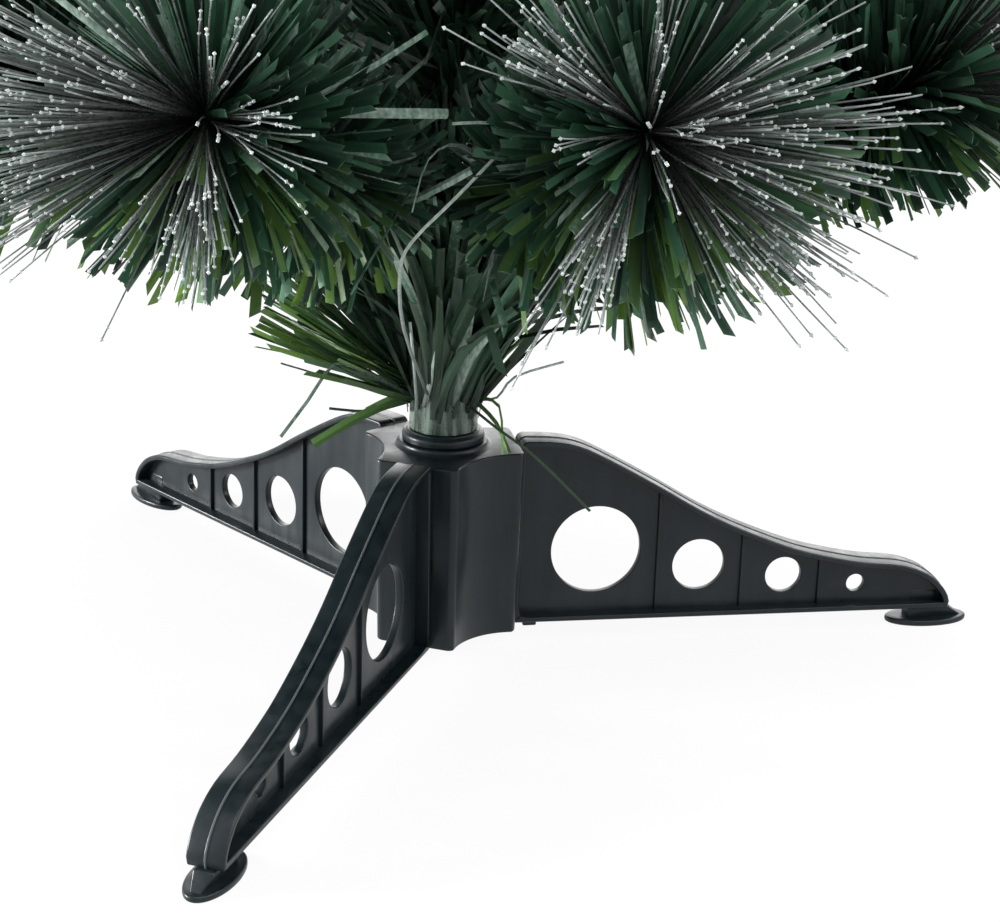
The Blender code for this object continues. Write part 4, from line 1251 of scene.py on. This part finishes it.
def sow_needles(bm, base, length, rows, chance, core=0.0, full=1.0, shorter=Vector()):
    """Rows of needles round the X axis of a frame, shorter towards one side."""
    lean_spread, roll_spread, spin_spread = NEEDLE_SPREADS
    longest, cut, seldom = NEEDLE_LENGTHS
    for start, end, lean_start, lean_end, long_start, long_end, count in rows:
        for number in range(count):
            share = (number + chance.random()) / count
            lean = math.radians(between(lean_start, lean_end, share) + chance.gauss(0, lean_spread))
            turn = number * GOLDEN_TURN % FULL_TURN
            clump = CLUMP_PULL * math.sin(CLUMPS * turn + CLUMP_WIND * share)
            roll = turn + clump + chance.gauss(0, roll_spread)
            spin = math.pi + chance.gauss(0, spin_spread)
            place = leaning(length * between(start, end, share), roll, lean, spin)
            matrix = base @ place @ Matrix.Translation((core, 0, 0))
            grown = longest - cut * chance.random() ** seldom
            long = between(long_start, long_end, share) * full * grown
            direction = matrix.to_3x3() @ Vector((1, 0, 0))
            long = within_reach(matrix, long * (1 - max(0.0, direction.dot(shorter))))
            broad = NEEDLE_WIDTH * chance.uniform(*NEEDLE_WIDTHS)
            lit = chance.random() < LIT_NEEDLES
            hanging = max(0.0, LIT_RISE - direction.z)
            glow = between(LEAST_GLOW, 1, chance.random()) * hanging if lit else 0.0
            strip = chance.choice(STRIPS)
            sow_strip(bm, strip, matrix, long, broad, film_tone(NEEDLE_TONES, chance), min(glow, 1.0))


def sow_fibres(bm, base, sprays, way, chance):
    """Sprays of fibres round the X axis of a frame, their roots along the wire's way."""
    for turn, tilt, count, turn_spread, tilt_spread in sprays:
        for _ in range(count):
            roll = math.radians(turn + chance.gauss(0, turn_spread))
            lean = math.radians(max(FIBRE_LEAST_LEAN, tilt + chance.gauss(0, tilt_spread)))
            root = Matrix.Translation(way * chance.uniform(-FIBRE_ROOTS, 0))
            matrix = root @ base @ leaning(0, roll, lean, chance.uniform(0, FULL_TURN))
            template = chance.choice(FIBRES)
            long = max(vert.co.x for vert in template.vertices)
            kept = within_reach(matrix, long * chance.uniform(*FIBRE_LENGTHS)) / long
            sow(bm, template, matrix @ Matrix.Diagonal((kept, 1, 1, 1)), tone=chance.random())


def sprays_round(count, chance):
    """Sprays that stand all round a wire."""
    sprays = []
    for number in range(SPRAYS):
        turn = 360 * (number + chance.uniform(-SPRAY_TURN, SPRAY_TURN)) / SPRAYS
        sprays.append((turn, chance.uniform(*SPRAY_LEANS), round(count / SPRAYS), *SPRAY_SPREADS))
    return sprays


def facing_camera(point):
    """A frame at a point, with X towards the camera and Z up."""
    aim = (CAMERA_PLACE - point).to_track_quat("X", "Z")
    return Matrix.Translation(point) @ aim.to_matrix().to_4x4()


def branch_frame(joint, rise):
    """A frame with X along the wire, whose root eye hangs on the tier's ring."""
    root = Vector(joint["pos_m"])
    azimuth = math.atan2(root.y, root.x)
    slope = Matrix.Rotation(azimuth, 4, "Z") @ Matrix.Rotation(-math.radians(rise), 4, "Y")
    return Matrix.Translation(root) @ slope @ Matrix.Translation((0, 0, -EYE_RADIUS))


def add_tube(bm, tube):
    """Adds a tube after its open ends are filled."""
    bmesh.ops.holes_fill(tube, edges=[edge for edge in tube.edges if edge.is_boundary], sides=0)
    add(bm, tube)


def wire_mesh(length):
    """A twisted pair along X, with an eye above its root."""
    bm = bmesh.new()
    eye = section(10, WIRE_RADIUS)
    bmesh.ops.spin(
        eye, geom=eye.edges[:], cent=(0, 0, EYE_RADIUS), axis=(0, 1, 0), angle=math.radians(EYE_TURN),
        steps=EYE_STEPS,
    )
    add_tube(bm, eye)
    twisted = length - WIRE_END_SHORT
    turns = twisted / TWIST_PITCH
    steps = round(turns * TWIST_STEPS)
    for side in (1, -1):
        strand = section(6, STRAND_RADIUS)
        bmesh.ops.translate(strand, vec=(0, STRAND_OFFSET * side, 0), verts=strand.verts)
        bmesh.ops.spin(
            strand, geom=strand.edges[:], cent=(0, 0, 0), axis=(1, 0, 0), angle=turns * FULL_TURN,
            steps=steps, dvec=(twisted / steps, 0, 0),
        )
        add_tube(bm, strand)
    return mesh_of("wire", bm, welded=False)


def brush_rows(needles, lengths):
    """A row of needles for each stretch of a branch's wire."""
    return [
        (start, end, lean_start, lean_end, long_start * MM, long_end * MM, count)
        for (start, end), (lean_start, lean_end, count), long_start, long_end
        in zip(STRETCHES, needles, lengths, lengths[1:])
    ]


def build_branches():
    joints = {joint["name"]: joint for joint in frame["joints"]}
    for tier, (count, tip_radius, rise, fibres, needles, lengths) in enumerate(TIERS, 1):
        length = (tip_radius - RING_RADIUS) / math.cos(math.radians(rise))
        wire = wire_mesh(length)
        rows = brush_rows(needles, lengths)
        for number in range(1, count + 1):
            key = f"{tier}_{number}"
            body = f"branch_{key}"
            node = f"branch_needles_{key}"
            joint = joints[f"{body}_fold"]
            chance = random.Random(key)
            place = branch_frame(joint, rise)
            copy = wire.copy()
            copy.transform(place)
            piece(f"twisted_wire_{key}", copy, "coated_wire", body, f"branch_wire_{key}")
            film = marked(NEEDLE_MARKS)
            full = FULLNESS.get(key, 1.0)
            sow_needles(film, place, length, rows, chance, full=full, shorter=SHORTER.get(key, Vector()))
            brush = needle_piece(f"needles_{key}", film, body, node)
            strands = marked(FIBRE_MARKS)
            tip = place @ Matrix.Translation((length, 0, 0))
            way = tip.to_3x3() @ Vector((1, 0, 0))
            if key in FACING_SPRAYS:
                sow_fibres(strands, facing_camera(tip.translation), FACING_SPRAYS[key], way, chance)
            else:
                sow_fibres(strands, tip, sprays_round(fibres, chance), way, chance)
            spray = fibre_piece(f"fibres_{key}", strands, body, node)
            for soft in (brush, spray):
                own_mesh(soft)


def upright(height):
    """A frame whose X axis points up the trunk from this height."""
    return Matrix.Translation((0, 0, height)) @ Matrix.Rotation(-QUARTER_TURN, 4, "Y")


def swept(way):
    """The turn that puts Z along a line and Y towards the camera."""
    forward = way.normalized()
    across = TOWARDS_CAMERA.cross(forward).normalized()
    return Matrix((across, forward.cross(across), forward)).transposed()


def stray_strip(bm, broad, tone, warm, points):
    """A narrow strip along a smooth line through the points, its root among other needles."""
    line = smooth_line([Vector(point) * MM for point in points], STRAY_STEPS)
    strip = marked(NEEDLE_MARKS)
    bmesh.ops.create_circle(strip, cap_ends=True, segments=3, radius=broad * MM / STRAY_BREADTH)
    bmesh.ops.scale(strip, vec=(1, STRAY_FLATNESS, 1), verts=strip.verts)
    way = line[1] - line[0]
    bmesh.ops.rotate(strip, verts=strip.verts, matrix=swept(way))
    bmesh.ops.translate(strip, verts=strip.verts, vec=line[0])
    face = strip.faces[:][0]
    for number, (start, end) in enumerate(zip(line, line[1:]), 1):
        verts, face = drawn_out(strip, [face], end - start, keep=number == 1)
        bend = way.rotation_difference(end - start).to_matrix()
        bmesh.ops.rotate(strip, verts=verts, cent=end, matrix=bend)
        way = end - start
        set_marks(strip, verts, along=number / (len(line) - 1))
    set_marks(strip, strip.verts, tone=tone, warm=warm)
    add(bm, strip)


def strayed(azimuth, rise, spread, chance):
    """Turns to an azimuth and up to a rise, both varied by the spread in degrees."""
    turn = Matrix.Rotation(math.radians(azimuth + SIDE_SPREAD * chance.gauss(0, spread)), 4, "Z")
    lift = Matrix.Rotation(-math.radians(rise + chance.gauss(0, spread)), 4, "Y")
    return turn, lift


def build_trunk_needles():
    """Blades round the sleeve, and tufts that stick out over them."""
    chance = random.Random("skirt")
    bm = marked(NEEDLE_MARKS)
    core = SLEEVE_RADIUS + SKIRT_GAP
    lean_spread, turn_spread, spin_spread = SKIRT_SPREADS
    drift = Matrix.Rotation(math.radians(SKIRT_DRIFT), 4, "Y")
    for start, end, lean_start, lean_end, long_start, long_end, wide, count in SKIRT_ROWS:
        for number in range(count):
            share = (number + chance.random()) / count
            lean = math.radians(between(lean_start, lean_end, share) + chance.gauss(0, lean_spread))
            turn = number * GOLDEN_TURN + chance.gauss(0, turn_spread)
            long = between(long_start, long_end, share) * chance.uniform(*SKIRT_LENGTHS)
            height = SKIRT_LOW + SKIRT_SPAN * between(start, end, share)
            root = Matrix.Translation((core * math.cos(turn), core * math.sin(turn), height))
            place = (
                root @ drift @ Matrix.Rotation(turn, 4, "Z") @ Matrix.Rotation(lean - QUARTER_TURN, 4, "Y")
                @ Matrix.Rotation(math.pi + chance.gauss(0, spin_spread), 4, "X")
            )
            broad = wide * chance.uniform(*SKIRT_WIDTHS)
            sow_strip(
                bm, chance.choice(BLADES), place, long, broad, film_tone(BLADE_TONES, chance),
                SKIRT_BACKLIGHT * chance.random(),
            )
    for azimuth, rise, spread, long, broad, warm, light, count in TUFTS:
        for _ in range(count):
            turn, lift = strayed(azimuth, rise, spread, chance)
            height = TUFT_HEIGHT + chance.uniform(*TUFT_RANGE) * MM
            root = Matrix.Translation((core - TUFT_SUNK, 0, height))
            place = turn @ root @ lift @ Matrix.Rotation(chance.gauss(0, TUFT_SPIN), 4, "X")
            size = long * chance.uniform(*TUFT_LENGTHS)
            sow_strip(
                bm, chance.choice(STRIPS), place, size, broad * chance.uniform(*TUFT_WIDTHS),
                light * chance.random(), warm * chance.uniform(*TUFT_BACKLIGHTS),
            )
    needle_piece("skirt_needles", bm, "trunk", "trunk_needles")


def sow_gap_strips(bm, chance):
    """Loose strips from the pole into the gap between the front brushes."""
    count, azimuth, rise, spread, long, broad = GAP_STRIPS
    for number in range(count):
        height = GAP_LOW + GAP_SPAN * (number + chance.random()) / count
        turn, lift = strayed(azimuth, rise, spread, chance)
        place = (
            Matrix.Translation((0, 0, height)) @ turn @ lift
            @ Matrix.Translation((POLE_RADIUS - GAP_ROOT_SUNK, 0, 0))
            @ Matrix.Rotation(chance.uniform(0, FULL_TURN), 4, "X")
        )
        size = long * chance.uniform(*GAP_LENGTHS)
        pale = chance.random() < GAP_PALE
        sow_strip(
            bm, chance.choice(STRIPS), place, size, broad * chance.uniform(*GAP_WIDTHS),
            chance.uniform(*GAP_PALE_TONES) if pale else GAP_LIGHTEST * chance.random(),
            GAP_BACKLIGHT * chance.random(),
        )


def build_wraps():
    """The needle wraps on the pole between the tiers, and the brush on the top."""
    for node, wraps in WRAPS.items():
        chance = random.Random(node)
        bm = marked(NEEDLE_MARKS)
        for low, span, row in wraps:
            sow_needles(bm, upright(low), span, (row,), chance, core=POLE_RADIUS)
        if node == "pole_needles_lower":
            sow_gap_strips(bm, chance)
        needle_piece(f"{node}_film", bm, "trunk", node)
    chance = random.Random("crown")
    bm = marked(NEEDLE_MARKS)
    sow_needles(bm, upright(CROWN_LOW), CROWN_SPAN, CROWN_ROWS, chance, core=SPIKE_RADIUS)
    needle_piece("crown_needles", bm, "trunk", "top_brush")
    strands = marked(FIBRE_MARKS)
    sprays = sprays_round(CROWN_FIBRES, chance)
    sow_fibres(strands, upright(CROWN_LOW + CROWN_SPAN), sprays, Vector((0, 0, 1)), chance)
    fibre_piece("crown_fibres", strands, "trunk", "top_brush")


def build_camera():
    camera = bpy.data.cameras.new("camera")
    camera.lens = CAMERA_LENS
    camera.sensor_width = 36.0
    camera.clip_start = 0.01
    item = linked("camera", camera)
    item.matrix_world = (
        Matrix.Translation(CAMERA_PLACE) @ Matrix.Rotation(-math.radians(CAMERA_YAW), 4, "Z")
        @ Matrix.Rotation(math.radians(90 - CAMERA_PITCH), 4, "X")
        @ Matrix.Rotation(math.radians(CAMERA_ROLL), 4, "Z")
    )
    bpy.context.scene.camera = item


def seen_directly(finish):
    """1 for rays from the camera, from gloss and through clear plastic, else 0."""
    kinds = ("Is Camera Ray", "Is Glossy Ray", "Is Transmission Ray")
    camera, gloss, clear = (finish.node("ShaderNodeLightPath", output=kind) for kind in kinds)
    return (camera + gloss + clear).clamped()


def build_surroundings():
    bm = bmesh.new()
    bmesh.ops.create_grid(bm, x_segments=1, y_segments=1, size=FLOOR_SIZE / 2)
    floor = linked("floor", mesh_of("floor", bm))
    paper = Finish(bpy.data.materials.new("white_paper"))
    plain = paper.node("ShaderNodeBsdfDiffuse", inputs={"Color": (0.86, 0.86, 0.86)})
    glow = paper.node("ShaderNodeEmission", inputs={"Color": (1, 1, 1), "Strength": 1.0})
    both = paper.node("ShaderNodeMixShader", inputs={0: seen_directly(paper) * 0.9, 1: plain, 2: glow})
    paper.feed(paper.tree.nodes["Material Output"].inputs["Surface"], both)
    floor.data.materials.append(paper.owner)
    world = bpy.data.worlds.new("studio")
    bpy.context.scene.world = world
    air = Finish(world)
    strength = WORLD_LIGHT + seen_directly(air) * (1 - WORLD_LIGHT)
    background = air.tree.nodes["Background"]
    air.feed(background.inputs["Color"], (1, 1, 1))
    air.feed(background.inputs["Strength"], strength)


def build_lamps():
    for name, (place, size, power) in LAMPS.items():
        lamp = bpy.data.lights.new(name, "AREA")
        lamp.size = size
        lamp.energy = power
        item = linked(name, lamp)
        aim = LAMP_AIM - Vector(place)
        item.matrix_world = Matrix.Translation(place) @ aim.to_track_quat("-Z", "Y").to_matrix().to_4x4()
        item.visible_camera = False


MAKERS = (stand_plastic, needle_film, clear_fibre, sleeve_plastic, coated_wire)
FINISHES = {make.__name__: make() for make in MAKERS}
STRIPS = strip_templates(STRIP_SHAPES)
BLADES = strip_templates(BLADE_SHAPES)
FIBRES = fibre_templates()
build_camera()
build_surroundings()
build_lamps()
build_stand()
build_trunk()
build_trunk_needles()
build_wraps()
build_branches()
bpy.context.scene.view_settings.view_transform = "Standard"
